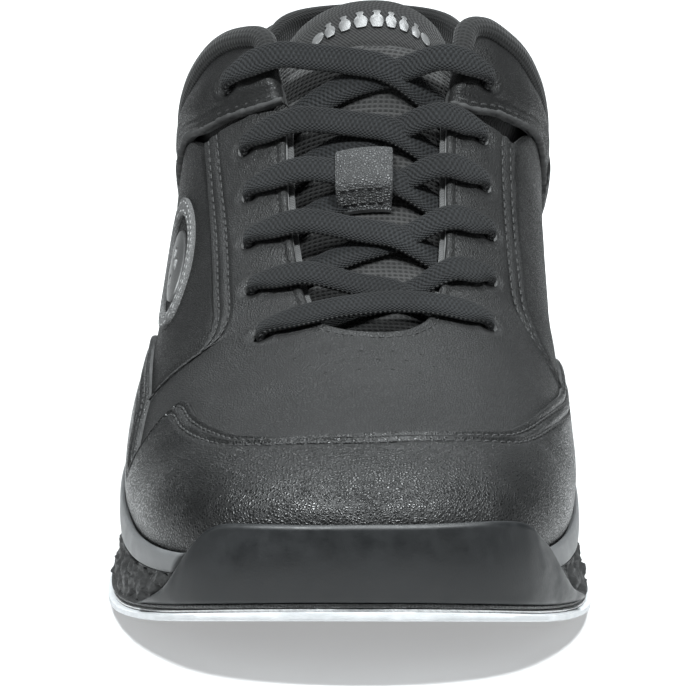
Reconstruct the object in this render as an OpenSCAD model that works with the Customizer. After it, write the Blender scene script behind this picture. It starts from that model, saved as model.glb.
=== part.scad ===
// Low-cut lace-up bowling shoe for the right foot, with a changeable slide sole and heel pad.
// Frame: +Z up, toe towards -Y, outer side of the foot towards -X, origin on the floor under the middle.
// The upper is described on one skin. A place on it is [back, t, d]: back is millimetres behind the toe,
// t runs from -1 at the outer bottom edge over 0 at the top ridge to 1 at the inner bottom edge,
// and d is the distance outside the skin.

/* [Shoe] */
// Length of the sole
sole_l = 302; // [280:1:320]
// Widest part of the sole
sole_w = 117; // [108:1:122]
// How far the sole's toe end curves up
toe_spring = 18; // [10:1:20]
// Distance behind the toe where the sole starts to curve up
spring_start = 105; // [90:1:115]

/* [Sole layers] */
// Thickness of the slide sole and of the heel pad
pad_t = 2.0; // [1.5:0.1:2.4]
// Thickness of each sheet of hook and loop fastener
velcro_t = 0.8; // [0.6:0.1:1]
// Back end of the slide sole, behind the toe
slide_end = 178; // [165:1:185]
// Front end of the heel pad, behind the toe
heel_start = 208; // [200:1:220]

/* [Upper] */
// Thickness of the outer leather
leather_t = 1.4; // [1:0.1:1.6]
// Extra thickness of the padding at the ankle
padding = 6; // [3:0.5:7]
// Radius of the punched lace holes
eyelet_r = 2.3; // [2:0.1:2.6]
// Width of the lace
lace_w = 7; // [5:0.5:8]
// Thickness of the lace
lace_t = 1.9; // [1.5:0.1:2]
// Smallest radius of the tongue's bending end
knuckle_r = 9; // [8.5:0.5:10]

/* [Hidden] */

// The upper's skin: length, and where its toe and heel lie behind the sole's toe.
toe_gap = 5;
upper_l = 292 * sole_l / 302;
wide = sole_w / 117;
nose = 0.012;          // the skin's station nearest the toe
// Each table below has eleven values, at stations spread by a cosine from the toe to the heel.
FEATHER_OUT = [0, 31, 47, 54.5, 56, 50.5, 42, 38, 35.5, 24, 0];
FEATHER_IN = [0, 28, 42, 48, 47.5, 41.5, 37, 36, 34, 23, 0];
BULGE_OUT = [0, 33, 50, 57.5, 61, 59, 56, 50, 41, 27, 0];
BULGE_IN = [0, 30, 46.5, 53.5, 55.5, 54.5, 53, 49, 40.5, 26, 0];
FEATHER_Z = [30, 30, 26.5, 24.5, 24.5, 26, 28.5, 31, 33, 34, 34];
RIDGE_Z = [37, 46, 53, 58, 72, 100, 138, 160, 165, 165, 165];
RIDGE_X = [1, 1, 2, 3, 4, 4, 2, 1, 0, 0, 0];
BULGE_H = [0.6, 0.6, 0.55, 0.5, 0.5, 0.5, 0.45, 0.4, 0.38, 0.38, 0.38];
CROWN_W = [0.6, 0.6, 0.62, 0.6, 0.56, 0.56, 0.75, 0.9, 0.9, 0.9, 0.9];
SOLE_OUT = [0, 36, 53, 61.5, 62, 56, 49, 45, 41, 29.5, 0];
SOLE_IN = [0, 33, 48.5, 55, 52.5, 45, 41, 41, 39, 28.5, 0];
SIDEWALL_Z = [27, 26.3, 21.5, 18.3, 17.3, 17.5, 19, 20.5, 22, 23, 23];   // top of the black sidewall

// Depths of the layers, from the skin.
BASE = [0.4 - leather_t, 0.4];
OVER = [0.9, 0.9 + leather_t * 0.8];
HEEL_OVER = [1.3, 2.3];
STIFF = [-2.4, -1.6];
LINING = [-3.6, -2.8];
tongue_d = -6.2;       // face of the tongue under the laces

function mix(a, b, f) = a + (b - a) * f;
function smooth(f) = let (g = max(0, min(1, f))) g * g * (3 - 2 * g);
// Smooth curve through a list of values or points, for u from 0 to 1.
function curve(list, u) =
    let (n = len(list) - 1, v = max(0, min(1, u)) * n, i = min(floor(v), n - 1), f = v - i,
         b = list[i], c = list[i + 1],
         a = i > 0 ? list[i - 1] : 2 * b - c, d = i < n - 1 ? list[i + 2] : 2 * c - b)
    0.5 * (2 * b + (c - a) * f + (2 * a - 5 * b + 4 * c - d) * f * f + (3 * b - a - 3 * c + d) * f * f * f);

function back_of(s) = toe_gap + upper_l * (1 - cos(180 * s)) / 2;
function station(back) = acos(max(-1, min(1, 1 - 2 * (back - toe_gap) / upper_l))) / 180;
function heel_lean(back, z) = 9 * smooth((back - 225) / 70) * pow(max(0, z - 50) / 50, 2);

// The collar is narrower than the heel below it: by how much at most, from
// which station over what length, and from which height over what rise.
PINCH = 0.2;
PINCH_STATION = [0.66, 0.14];
PINCH_HEIGHT = [55, 45];
function pinch(s, z) =
    1 - PINCH * smooth((s - PINCH_STATION[0]) / PINCH_STATION[1])
              * smooth((z - PINCH_HEIGHT[0]) / PINCH_HEIGHT[1]);

function skin(s, t) =
    let (side = t < 0 ? -1 : 1, k = 1 - abs(t), j = 1 - k,
         foot = side * wide * curve(t < 0 ? FEATHER_OUT : FEATHER_IN, s),
         bulge = side * wide * curve(t < 0 ? BULGE_OUT : BULGE_IN, s),
         top = curve(RIDGE_X, s) * min(1, 3 * sin(180 * s)),
         low = curve(FEATHER_Z, s), high = curve(RIDGE_Z, s),
         mid = mix(low, high, curve(BULGE_H, s)), crown = mix(top, bulge, curve(CROWN_W, s)),
         x = j * j * j * foot + 3 * k * j * j * bulge + 3 * k * k * j * crown + k * k * k * top,
         z = j * j * j * low + 3 * k * j * j * mid + 3 * k * k * j * high + k * k * k * high)
    [x * pinch(s, z), back_of(s) - heel_lean(back_of(s), z), z];
function normal(s, t) =
    let (e = 0.004, a = skin(min(1, s + e), t) - skin(max(0, s - e), t), b = skin(s, t + e) - skin(s, t - e),
         n = cross(b, a)) n / norm(n);
function place(s, t, d) = skin(s, t) + d * normal(s, t);

// The t at which the skin reaches height z, on side -1 or 1.
function rise(s, z, lo = 0, hi = 1, n = 14) =
    let (m = (lo + hi) / 2) n == 0 ? m : skin(s, 1 - m)[2] < z ? rise(s, z, m, hi, n - 1) : rise(s, z, lo, m, n - 1);
function t_at(s, side, z) = side * (1 - rise(s, z));

// Every node is moved from the toe-and-ridge frame to the frame stated at the top.
x_shift = (max([for (i = [0:96]) wide * curve(SOLE_OUT, i / 96)])
         - max([for (i = [0:96]) wide * curve(SOLE_IN, i / 96)])) / 2;
module at_home() translate([x_shift, -sole_l / 2, 0]) children();

// A sheet between two grids of points with the same rows and columns; loop joins the last column to the first.
module sheet(outer, inner, loop = false) {
    rows = len(outer);
    cols = len(outer[0]);
    n = rows * cols;
    last = loop ? cols - 1 : cols - 2;
    r = floor(rows / 2);
    c = floor(cols / 2);
    turn = cross(outer[r][c] - outer[r][c - 1], outer[r][c] - outer[r - 1][c]) * (outer[r][c] - inner[r][c]) > 0;
    function quad(a, b, c, d) = turn ? [[a, b, c], [a, c, d]] : [[c, b, a], [d, c, a]];
    sides = [for (j = [0:last]) let (a = j, b = (j + 1) % cols, e = (rows - 1) * cols)
             each concat(quad(a, b, n + b, n + a), quad(e + b, e + a, n + e + a, n + e + b))];
    ends = loop ? [] : [for (i = [0:rows - 2]) let (a = i * cols, d = a + cols, m = cols - 1)
             each concat(quad(d, a, n + a, n + d), quad(a + m, d + m, n + d + m, n + a + m))];
    faces = [for (i = [0:rows - 2]) for (j = [0:last])
             let (a = i * cols + j, b = i * cols + (j + 1) % cols)
             each concat(quad(a, a + cols, b + cols, b), quad(n + a, n + b, n + b + cols, n + a + cols))];
    polyhedron(points = concat([for (g = outer) each g], [for (g = inner) each g]),
               faces = concat(faces, sides, ends));
}
// A sheet on the skin from a grid of [station, t]; depth is [inner, outer].
module on_skin(grid, depth) {
    sheet([for (row = grid) [for (p = row) place(p[0], p[1], depth[1])]],
          [for (row = grid) [for (p = row) place(p[0], p[1], depth[0])]]);
}
// Points given as [back, t] are turned into [station, t].
function places(list) = [for (p = list) [max(nose, station(p[0])), p[1]]];
// Points given as [back, height] on one side.
function heights(list, side) = [for (p = list) let (s = station(p[0])) [s, t_at(s, side, p[1])]];
// A grid between two edges that have matching points.
function strip(a, b, rows, cols) =
    [for (i = [0:rows]) [for (j = [0:cols]) mix(curve(a, j / cols), curve(b, j / cols), i / rows)]];
// A grid filled in between four edges: low and high run along the columns, front and rear up the rows.
function filled(low, high, front, rear, rows, cols) =
    [for (i = [0:rows]) let (v = i / rows) [for (j = [0:cols]) let (u = j / cols)
        mix(curve(low, u), curve(high, u), v) + mix(curve(front, v), curve(rear, v), u)
        - mix(mix(low[0], low[len(low) - 1], u), mix(high[0], high[len(high) - 1], u), v)]];

// ---- outlines on the upper, as [back, t] ----
VAMP_EDGE = places([[173.5, -0.49], [157, -0.487], [140, -0.47], [122, -0.45], [107, -0.44], [99.5, -0.5],
    [101, -0.7], [103, -1], [75, -1], [50, -1], [25, -1], [10, -1], [5, -0.6], [5, 0], [5, 0.6], [10, 1],
    [25, 1], [50, 1], [75, 1], [110, 1], [111, 0.72], [111.5, 0.59], [118, 0.51], [133, 0.488], [149, 0.472],
    [168.5, 0.447]]);
THROAT = places([[162.5, -0.237], [150, -0.243], [136, -0.237], [122, -0.215], [110, -0.192], [103, -0.174],
    [99.5, -0.163], [96.8, -0.153], [94, -0.134], [91.8, -0.104], [90.2, -0.072], [89.4, -0.045], [89, -0.02], [89, 0],
    [89, 0.02], [89.4, 0.045], [90.2, 0.072], [92, 0.098], [94.2, 0.123], [97.2, 0.142], [100.5, 0.157], [105, 0.171],
    [112, 0.18], [124, 0.195], [140, 0.2], [160, 0.2]]);
TOE_SEAM = places([[168, -0.93], [150, -0.8], [125, -0.73], [104, -0.7], [92, -0.745], [79, -0.8], [78, -0.66],
    [80, -0.53], [68, -0.485], [56, -0.43], [43, -0.353], [37, -0.26], [35, -0.193], [34, -0.1], [34, 0],
    [35.5, 0.1], [38, 0.203], [43, 0.3], [51, 0.4], [62, 0.47], [74, 0.532], [90, 0.62], [105, 0.703],
    [122, 0.75], [145, 0.83], [160, 0.93]]);
TOE_FOOT = places([[170, -1], [150, -1], [125, -1], [105, -1], [92, -1], [80, -1], [72, -1], [65, -1], [55, -1],
    [42, -1], [28, -1], [15, -1], [8, -1], [5, -0.6], [5, 0], [5, 0.6], [8, 1], [16, 1], [30, 1], [48, 1],
    [65, 1], [85, 1], [102, 1], [120, 1], [143, 1], [162, 1]]);
QUARTER_FRONT_OUT = places([[105, -1], [103.5, -0.7], [102.5, -0.5], [110, -0.446], [125, -0.458],
    [143, -0.478], [160, -0.494], [176, -0.5]]);
QUARTER_FRONT_IN = places([[112, 1], [113.5, 0.72], [114.5, 0.59], [121, 0.515], [136, 0.495], [152, 0.48],
    [171, 0.455]]);
// The line of the collar behind the wings, as [back, height].
COLLAR = [[220, 77.5], [228, 74.5], [242, 76], [256, 83], [270, 91.5], [282, 97.5], [298, 98.5]];
SHOULDER = [[199, 104.5], [205, 95.5], [211, 86], [215.5, 81]];
WING_TAIL = [[190, 88], [198, 80], [205, 73.5]];
WING_LOW_OUT = concat(places([[164.5, -0.237], [166.5, -0.305], [170.5, -0.382], [178, -0.49]]), heights(WING_TAIL, -1));
WING_TOP_OUT = concat(places([[182, -0.262], [187, -0.32], [192.5, -0.39]]),
                      heights([for (i = [0:2]) SHOULDER[i]], -1), heights([[213, 83.5]], -1));
WING_LOW_IN = concat(places([[162, 0.2], [164.5, 0.28], [169.5, 0.36], [177, 0.463]]), heights(WING_TAIL, 1));
WING_TOP_IN = concat(places([[183, 0.235], [188, 0.3], [191.5, 0.37]]),
                     heights([for (i = [0:2]) SHOULDER[i]], 1), heights([[213, 83.5]], 1));
QUARTER_TAIL = concat([[198, 78], [205, 71.5], [210.5, 75.5], [215.5, 79]], COLLAR);
COLLAR_OUT = concat(places([[188, -0.6]]), heights(QUARTER_TAIL, -1));
COLLAR_IN = concat(places([[186, 0.575]]), heights(QUARTER_TAIL, 1));

// Punched lace holes as [back, t], from the toe up.
HOLES_OUT = [[95, -0.292], [114, -0.323], [131, -0.345], [146, -0.352], [160, -0.358], [177, -0.375]];
HOLES_IN = [[102, 0.338], [119, 0.347], [134.5, 0.355], [148, 0.335], [160.5, 0.32], [173, 0.31]];
module lace_holes(list) {
    for (h = list) {
        s = station(h[0]);
        p = place(s, h[1], -8);
        n = normal(s, h[1]);
        translate(p) rotate([0, acos(n[2]), atan2(n[1], n[0])]) cylinder(h = 16, r = eyelet_r, $fn = 24);
    }
}

// ---- upper ----
module vamp() color("#1b1c1e") at_home() difference() {
    on_skin(strip(VAMP_EDGE, THROAT, 8, 46), BASE);
    lace_holes([for (i = [0:4]) HOLES_OUT[i]]);
    lace_holes([for (i = [0:4]) HOLES_IN[i]]);
}
module vamp_lining() color("#2c2d30") at_home() difference() {
    on_skin(strip(VAMP_EDGE, THROAT, 6, 40), LINING);
    lace_holes([for (i = [0:4]) HOLES_OUT[i]]);
    lace_holes([for (i = [0:4]) HOLES_IN[i]]);
}
module toe_overlay() color("#151617") at_home() on_skin(strip(TOE_FOOT, TOE_SEAM, 5, 42), OVER);
TOE_PUFF_FOOT = places([[70, -0.93], [45, -0.93], [25, -0.93], [10, -0.9], [5, -0.5], [5, 0], [5, 0.5],
    [10, 0.9], [25, 0.93], [45, 0.93], [66, 0.93]]);
TOE_PUFF_TOP = places([[60, -0.7], [48, -0.5], [40, -0.35], [35, -0.22], [32, -0.1], [31, 0], [32, 0.1],
    [35, 0.22], [40, 0.35], [48, 0.5], [58, 0.7]]);
module toe_puff() color("#c9c2b0") at_home() on_skin(strip(TOE_PUFF_FOOT, TOE_PUFF_TOP, 5, 26), [-2.5, -1.8]);

function quarter_grid(side, front, collar) =
    let (low = [for (u = [0:6]) [mix(front[0][0], 0.997, u / 6), side]],
         join = front[len(front) - 1], top = concat([join, mix(join, collar[0], 0.5)], collar),
         trim = [for (p = top) [min(p[0], 0.997), p[1]]],
         rear = [for (v = [0:6]) mix(low[6], trim[len(trim) - 1], v / 6)])
    filled(low, trim, front, rear, 8, 20);
module quarter_lateral() color("#202124") at_home() on_skin(quarter_grid(-1, QUARTER_FRONT_OUT, COLLAR_OUT), BASE);
module quarter_medial() color("#202124") at_home() on_skin(quarter_grid(1, QUARTER_FRONT_IN, COLLAR_IN), BASE);

// The padded wings beside the top lace holes are fullest in the middle.
module wing(low, top) {
    grid = strip(low, top, 6, 12);
    puff = function (i, j) 1.2 + 2.2 * sin(180 * i / 6) * sin(30 + 120 * j / 12);
    sheet([for (i = [0:6]) [for (j = [0:12]) place(grid[i][j][0], grid[i][j][1], puff(i, j))]],
          [for (i = [0:6]) [for (j = [0:12]) place(grid[i][j][0], grid[i][j][1], BASE[0])]]);
}
module collar_wing_lateral() color("#17181a") at_home() difference() {
    wing(WING_LOW_OUT, WING_TOP_OUT);
    lace_holes([HOLES_OUT[5]]);
}
module collar_wing_medial() color("#17181a") at_home() difference() {
    wing(WING_LOW_IN, WING_TOP_IN);
    lace_holes([HOLES_IN[5]]);
}

// Two grids, of the outer and the inner side, that meet at the middle of the heel become one.
function round_heel(out, in) = [for (i = [0:len(out) - 1])
    concat(out[i], [for (j = [len(in[i]) - 2:-1:0]) in[i][j]])];
function heel_strip(low, top, rows, cols) =
    round_heel(strip(low[0], top[0], rows, cols), strip(low[1], top[1], rows, cols));
// The same edge on both sides, as [back, height].
function both(list) = [heights(list, -1), heights(list, 1)];
function foot_edge(backs, t) = [for (side = [-1, 1]) [for (b = backs) [station(b), side * t]]];
module collar_band() color("#26272a") at_home()
    on_skin(heel_strip(both([[208, 70], [216, 61.5], [227, 57], [242, 57], [256, 62], [270, 69], [282, 74], [298, 77]]),
                       both(concat([[215, 82.5]], COLLAR)), 4, 15), HEEL_OVER);
module heel_overlay() color("#151617") at_home()
    on_skin(heel_strip(foot_edge([192, 214, 232, 250, 266, 282, 298], 1),
                       both([[196, 40], [214, 46], [232, 50], [250, 54], [266, 60], [282, 68], [298, 71]]), 4, 18), HEEL_OVER);
module heel_counter() color("#c9c2b0") at_home()
    on_skin(heel_strip(foot_edge([228, 250, 266, 282, 298], 0.94),
                       both([[236, 52], [250, 58], [266, 64], [282, 70], [298, 72]]), 3, 18), STIFF);

// The lining follows the foam, which is thickest a little below the top line and thin beside the throat.
LINING_ROWS = 9;
LINING_COLS = 20;
function lining_half(side, low, front, top) =
    let (foot = [for (b = low) [station(b), side]], n = len(foot) - 1, crest = top[len(top) - 1],
         rear = [for (v = [0:4]) mix(foot[n], crest, v / 4)])
    filled(foot, top, front, rear, LINING_ROWS, LINING_COLS);
LINING_GRID = round_heel(
    lining_half(-1, [107, 130, 150, 168, 185, 200, 214, 230, 250, 272, 298],
        places([[107, -1], [106, -0.7], [105, -0.52], [112, -0.462], [127, -0.47], [145, -0.49],
            [160, -0.506], [173.5, -0.5], [172, -0.38], [167.5, -0.28], [182, -0.28]]),
        concat(places([[182, -0.28], [190.5, -0.39]]), heights(concat(SHOULDER, COLLAR), -1))),
    lining_half(1, [114, 132, 150, 168, 185, 200, 214, 230, 250, 272, 298],
        places([[114, 1], [116, 0.72], [117, 0.6], [123, 0.53], [138, 0.51], [153, 0.495],
            [169, 0.465], [168, 0.36], [165, 0.27], [183, 0.255]]),
        concat(places([[183, 0.255], [190.5, 0.38]]), heights(concat(SHOULDER, COLLAR), 1))));
function swell(i, j) = let (v = i / LINING_ROWS, u = min(j, 2 * LINING_COLS - j) / LINING_COLS)
    padding * smooth(u * 3.2 - 0.5) * pow(max(0, sin(180 * pow(1 - v, 0.7))), 1.5) * smooth(v / 0.35);
module quarter_lining() color("#3a3b3e") at_home() difference() {
    sheet([for (i = [0:LINING_ROWS]) [for (j = [0:2 * LINING_COLS]) let (p = LINING_GRID[i][j])
              place(p[0], p[1], -3 - swell(i, j))]],
          [for (i = [0:LINING_ROWS]) [for (j = [0:2 * LINING_COLS]) let (p = LINING_GRID[i][j])
              place(p[0], p[1], -3.8 - swell(i, j))]]);
    lace_holes([HOLES_OUT[5]]);
    lace_holes([HOLES_IN[5]]);
}
module collar_foam() color("#d8d2b8") at_home() {
    rows = [2:LINING_ROWS - 1];
    cols = [6:2 * LINING_COLS - 6];
    sheet([for (i = rows) [for (j = cols) let (p = LINING_GRID[i][j]) place(p[0], p[1], -2.75)]],
          [for (i = rows) [for (j = cols) let (p = LINING_GRID[i][j]) place(p[0], p[1], -2.85 - swell(i, j))]]);
}
module eyestay_backing(edge, throat) {
    n = len(edge) - 1;
    inner = [for (i = [0:n]) throat[i] + [0, (edge[i][1] < 0 ? 1 : -1) * 0.012]];
    outer = [for (i = [0:n]) mix(throat[i], edge[i], 0.62)];
    on_skin(strip(outer, inner, 4, 14), STIFF);
}
module eyestay_backing_lateral() color("#8f9090") at_home() difference() {
    eyestay_backing([for (i = [0:5]) VAMP_EDGE[i]], [for (i = [0:5]) THROAT[i]]);
    lace_holes(HOLES_OUT);
}
module eyestay_backing_medial() color("#8f9090") at_home() difference() {
    eyestay_backing([for (i = [21:25]) VAMP_EDGE[i]], [for (i = [21:25]) THROAT[i]]);
    lace_holes(HOLES_IN);
}

// ---- tongue: one padded sheet, cut where its free end bends ----
TONGUE_BACK = [76, 92, 110, 130, 150, 166, 177, 184.5, 189.5];
TONGUE_HALF = [0.26, 0.36, 0.4, 0.42, 0.41, 0.38, 0.35, 0.34, 0.27];
TONGUE_DROP = [0.9, 0.15, 0, 0, 0, -0.5, -2.4, -4.2, -5.8];
function tongue_grid(top, bottom, margin) =
    [for (d = [top, bottom]) [for (i = [0:16]) let (u = i / 16, back = curve(TONGUE_BACK, u),
        half = curve(TONGUE_HALF, u) - margin, s = station(back)) [for (j = [0:8])
        place(s, half * (j / 4 - 1), curve(TONGUE_DROP, u) + tongue_d + d * (1 - 0.35 * pow(j / 4 - 1, 2)))]]];
module tongue(top, bottom, margin) {
    g = tongue_grid(top, bottom, margin);
    sheet(g[0], g[1]);
}
hinge_back = 178;      // where the free end bends
hinge_low = 14.5;      // depth of the bending axis below the skin's ridge
HINGE = place(station(hinge_back), 0, -hinge_low);
module above_hinge() translate([0, HINGE[1], HINGE[2]]) rotate([-54, 0, 0]) translate([-60, -60, 0]) cube([120, 120, 80]);
module knuckle(r) translate([-60, HINGE[1], HINGE[2]]) rotate([0, 90, 0]) cylinder(h = 120, r = r, $fn = 48);
module tongue_lower(top, bottom, margin) difference() {
    tongue(top, bottom, margin);
    knuckle(knuckle_r + 0.4);
    above_hinge();
}
module tongue_free(top, bottom, margin) intersection() {
    tongue(top, bottom, margin);
    union() {
        knuckle(knuckle_r);
        above_hinge();
    }
}
module tongue_face() color("#2b2c2f") at_home() tongue_lower(0, -1, 0);
module tongue_foam() color("#d8d2b8") at_home() tongue_lower(-1.1, -5.8, 0.01);
module tongue_flap_face() color("#2b2c2f") at_home() tongue_free(0, -1, 0);
module tongue_flap_foam() color("#d8d2b8") at_home() tongue_free(-1.1, -5.8, 0.01);

// ---- sole ----
hook_z = pad_t + velcro_t + 0.3;       // the two sheets of the fastener stand this little apart
midsole_z = hook_z + velcro_t;
function floor_z(back) = toe_spring * pow(max(0, spring_start - back) / spring_start, 2);
function sole_back(s) = sole_l * (1 - cos(180 * s)) / 2;
function sole_s(back) = acos(1 - 2 * back / sole_l) / 180;
// A way q round the shoe: its size is the station, and its sign the side. It runs from -1 to 1 and meets at the heel.
function wrap(q) = q > 1 ? q - 2 : q < -1 ? q + 2 : q;
function sole_edge(q) = [(q < 0 ? -1 : 1) * wide * curve(q < 0 ? SOLE_OUT : SOLE_IN, abs(q)), sole_back(abs(q))];
function outward(q) = let (e = sole_edge(wrap(q + 0.01)) - sole_edge(wrap(q - 0.01))) [e[1], -e[0]] / norm(e);
function inset(q, d) = sole_edge(q) - d * outward(q);
function foot_edge_at(q, d) = let (p = skin(abs(q), q < 0 ? -1 : 1)) [p[0], p[1]] + d * outward(q);
function lifted(p, z) = [p[0], p[1], z];

// A layer of the sole that follows its curve: between two distances behind the toe, inset from the edge,
// from z to z + t above the floor line.
module layer(from, to, margin, z, t, n = 24) {
    grid = function (h) [for (i = [0:n]) let (s = mix(sole_s(from), sole_s(to), i / n), a = inset(-s, margin), b = inset(s, margin))
        [for (j = [0:4]) let (p = mix(a, b, j / 4)) lifted(p, floor_z(p[1]) + h)]];
    sheet(grid(z + t), grid(z));
}
module heel_outline(margin) {
    n = 22;
    s0 = sole_s(heel_start + margin);
    polygon(concat([for (i = [0:n]) inset(-mix(s0, 1, i / n), margin)], [for (i = [n - 1:-1:0]) inset(mix(s0, 1, i / n), margin)]));
}
module slide_sole() color("#e4e6e8") at_home() layer(0.15, slide_end, 0, 0, pad_t, 30);
module slide_sole_loop_sheet() color("#c8cacc") at_home() layer(0.3, slide_end - 1.2, 1.2, pad_t + 0.1, velcro_t - 0.1);
module slide_sole_hook_sheet() color("#1b1c1e") at_home() layer(0.3, slide_end - 1.2, 1.2, hook_z, velcro_t);
module heel_pad() color("#e4e6e8") at_home() linear_extrude(pad_t) heel_outline(0);
module heel_loop_sheet() color("#c8cacc") at_home() translate([0, 0, pad_t]) linear_extrude(velcro_t) heel_outline(1.2);
module heel_hook_sheet() color("#1b1c1e") at_home() translate([0, 0, hook_z]) linear_extrude(velcro_t) heel_outline(1.2);

// The bumper that the trailing toe drags on. Each entry is a place [q] on the sole's edge
// and the point [x, back, z] of the guard's upper outline that stands over it.
GUARD = [[-0.213, -54.6, 32.7, 12.6], [-0.19, -50.8, 25.2, 16.8], [-0.17, -47.3, 20, 21], [-0.157, -44.6, 17, 26],
    [-0.147, -42.7, 15.8, 29.6], [-0.137, -40.2, 13.8, 33.6], [-0.127, -37.2, 12, 36.8], [-0.115, -33, 10, 38.6],
    [-0.08, -24, 6, 39.6], [-0.04, -12, 3.2, 40.2], [0, 0, 2.4, 40.5], [0.04, 12, 3.2, 40.4], [0.075, 22, 6, 40],
    [0.105, 31, 10.2, 39.3], [0.135, 37.2, 15.4, 37.8], [0.155, 40.6, 19.5, 35.6], [0.168, 42.6, 22.4, 32.5],
    [0.184, 44.8, 26, 29], [0.195, 46.4, 28.3, 25.4], [0.208, 48.4, 31.5, 20.6], [0.225, 50.4, 36, 16], [0.249, 53, 44, 12]];
module guard_shell(out, in, drop = 0, cols = 42, thin = 0) {
    rows = 5;
    at = function (i, j, d) let (g = curve(GUARD, j / cols), q = g[0], e = inset(q, 0.6), o = outward(q), v = i / rows,
        low = lifted(e, floor_z(e[1]) + midsole_z + 0.05 - drop), high = [wide * g[1], g[2], g[3]])
        mix(low, high, v) + (d + 0.9 * sin(180 * v)) * [o[0], o[1], 0];
    sheet([for (i = [0:rows]) [for (j = [0:cols]) at(i, j, out)]],
          [for (i = [0:rows]) [for (j = [0:cols]) at(i, j, in + thin * i / rows)]]);
}
module toe_guard() color("#33363a") at_home() guard_shell(0, -2.2, thin = 1);

module midsole() color("#2e2f31") at_home() difference() {
    n = 40;
    st = [for (i = [0:n]) mix(0.02, 0.996, i / n)];
    edge = function (s, d, z) [for (side = [-1, 1]) lifted(inset(side * s, d), z)];
    seat = function (s, d, z) [for (side = [-1, 1]) lifted(foot_edge_at(side * s, -d), z)];
    low = [for (s = st) let (e = edge(s, 0.8, 0), z = function (p) lifted(p, floor_z(p[1]) + midsole_z + 0.15), a = z(e[0]), b = z(e[1]))
           [a, mix(a, b, 0.03), mix(a, b, 0.2), mix(a, b, 0.8), mix(a, b, 0.97), b]];
    high = [for (s = st) let (w = curve(SIDEWALL_Z, s), f = curve(FEATHER_Z, s) - 2.4,
               e = edge(s, 3.4, w), c = seat(s, 1.6, w), k = seat(s, 1.9, f)) [e[0], c[0], k[0], k[1], c[1], e[1]]];
    sheet(high, low);
    guard_shell(14, -2.8, 2, 21);
    shank_bar(0.3);
}
module shank_bar(grow) {
    grid = function (h) [for (back = [150 - grow, 165, 185, 205, 225, 240 + grow])
        [for (x = [-8 - grow, 0, 8 + grow]) [x, back, curve(FEATHER_Z, sole_s(back)) + h]]];
    sheet(grid(-2.4 + (grow > 0 ? 2 : 0)), grid(-4 - grow));
}
module shank() color("#9a9da0") at_home() shank_bar(0);

rim_rise = [0.4, 0.4, 0.4, 0.5, 1, 2, 3.5, 5, 6.5, 7.5, 7.5];      // how far the rim stands above the upper's bottom edge
module midsole_rim() color("#55585b") at_home() difference() {
    cols = 72;
    ring = [for (i = [0:cols - 1]) let (q = -1 + 2 * i / cols, s = abs(q), side = q < 0 ? -1 : 1, o = outward(q),
        f = curve(FEATHER_Z, s), w = curve(SIDEWALL_Z, s) + 0.1, z1 = f + curve(rim_rise, s), k = max(s, 0.02),
        p = place(k, t_at(k, side, z1), 2.5), lip = [p[0], p[1]], out = inset(q, 3.3))
        [lifted(foot_edge_at(q, -1.3), w), lifted(out, w), lifted(mix(out, lip + 1 * o, 0.5) + 0.3 * o, mix(w, z1, 0.5)),
         lifted(lip + 1 * o, z1), lifted(lip, z1), lifted(foot_edge_at(q, 2.6), f - 0.3), lifted(foot_edge_at(q, -1.3), f - 2.4)]];
    sheet([for (k = [1, 2, 3, 4]) [for (r = ring) r[k]]], [for (k = [0, 6, 5, 5]) [for (r = ring) r[k]]], loop = true);
    guard_shell(14, -2.8, 2, 21);
}
module strobel_board() color("#b9ae93") at_home() {
    n = 24;
    st = [for (i = [0:n]) mix(0.06, 0.965, i / n)];
    grid = function (h) [for (s = st) let (a = skin(s, -1), b = skin(s, 1))
        [for (x = [a[0] + 4.4, mix(a[0], b[0], 0.35), mix(a[0], b[0], 0.65), b[0] - 4.4]) [x, max(a[1], 12), a[2] + h]]];
    sheet(grid(-0.4), grid(-1.8));
}
module sock_liner() color("#3d3f42") at_home() {
    n = 24;
    st = [for (i = [0:n]) mix(0.13, 0.88, i / n)];
    grid = function (low, dish) [for (s = st) let (a = skin(s, -1), b = skin(s, 1))
        [for (j = [0:6]) let (x = mix(a[0] + 9, b[0] - 9, j / 6))
            [x, a[1], a[2] + low + dish * pow(abs(j / 3 - 1), 3)]]];
    sheet(grid(4.6, 3), grid(0.2, 1.6));
}

// ---- laces ----
// A band swept along a list of [point, wide direction, width, thickness].
module swept(path) {
    n = len(path);
    rings = [for (i = [0:n - 1]) let (p = path[i][0], q = path[min(i + 1, n - 1)][0] - path[max(i - 1, 0)][0],
        t = q / norm(q), w0 = path[i][1] - (path[i][1] * t) * t, w = w0 / norm(w0), u = cross(t, w))
        [for (k = [0:7]) let (a = 22.5 + 45 * k) p + w * cos(a) * path[i][2] * 0.53 + u * sin(a) * path[i][3] * 0.53]];
    pts = [for (r = rings) each r];
    skin_faces = [for (i = [0:n - 2]) for (k = [0:7]) let (a = i * 8 + k, b = i * 8 + (k + 1) % 8)
        each [[a, a + 8, b + 8], [a, b + 8, b]]];
    polyhedron(points = pts, faces = concat(skin_faces, [[for (k = [0:7]) k]], [[for (k = [7:-1:0]) (n - 1) * 8 + k]]));
}
under_d = LINING[0] - 0.3 - lace_t / 2;
over_d = 1.1 + lace_t / 2;
back_way = [0, 1, 0.35];       // the wide direction of the lace lies this way everywhere
function lace_point(a, b, f, d, w) = let (s = station(mix(a[0], b[0], f)))
    [place(s, mix(a[1], b[1], f), d), back_way, w, lace_t];
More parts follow.
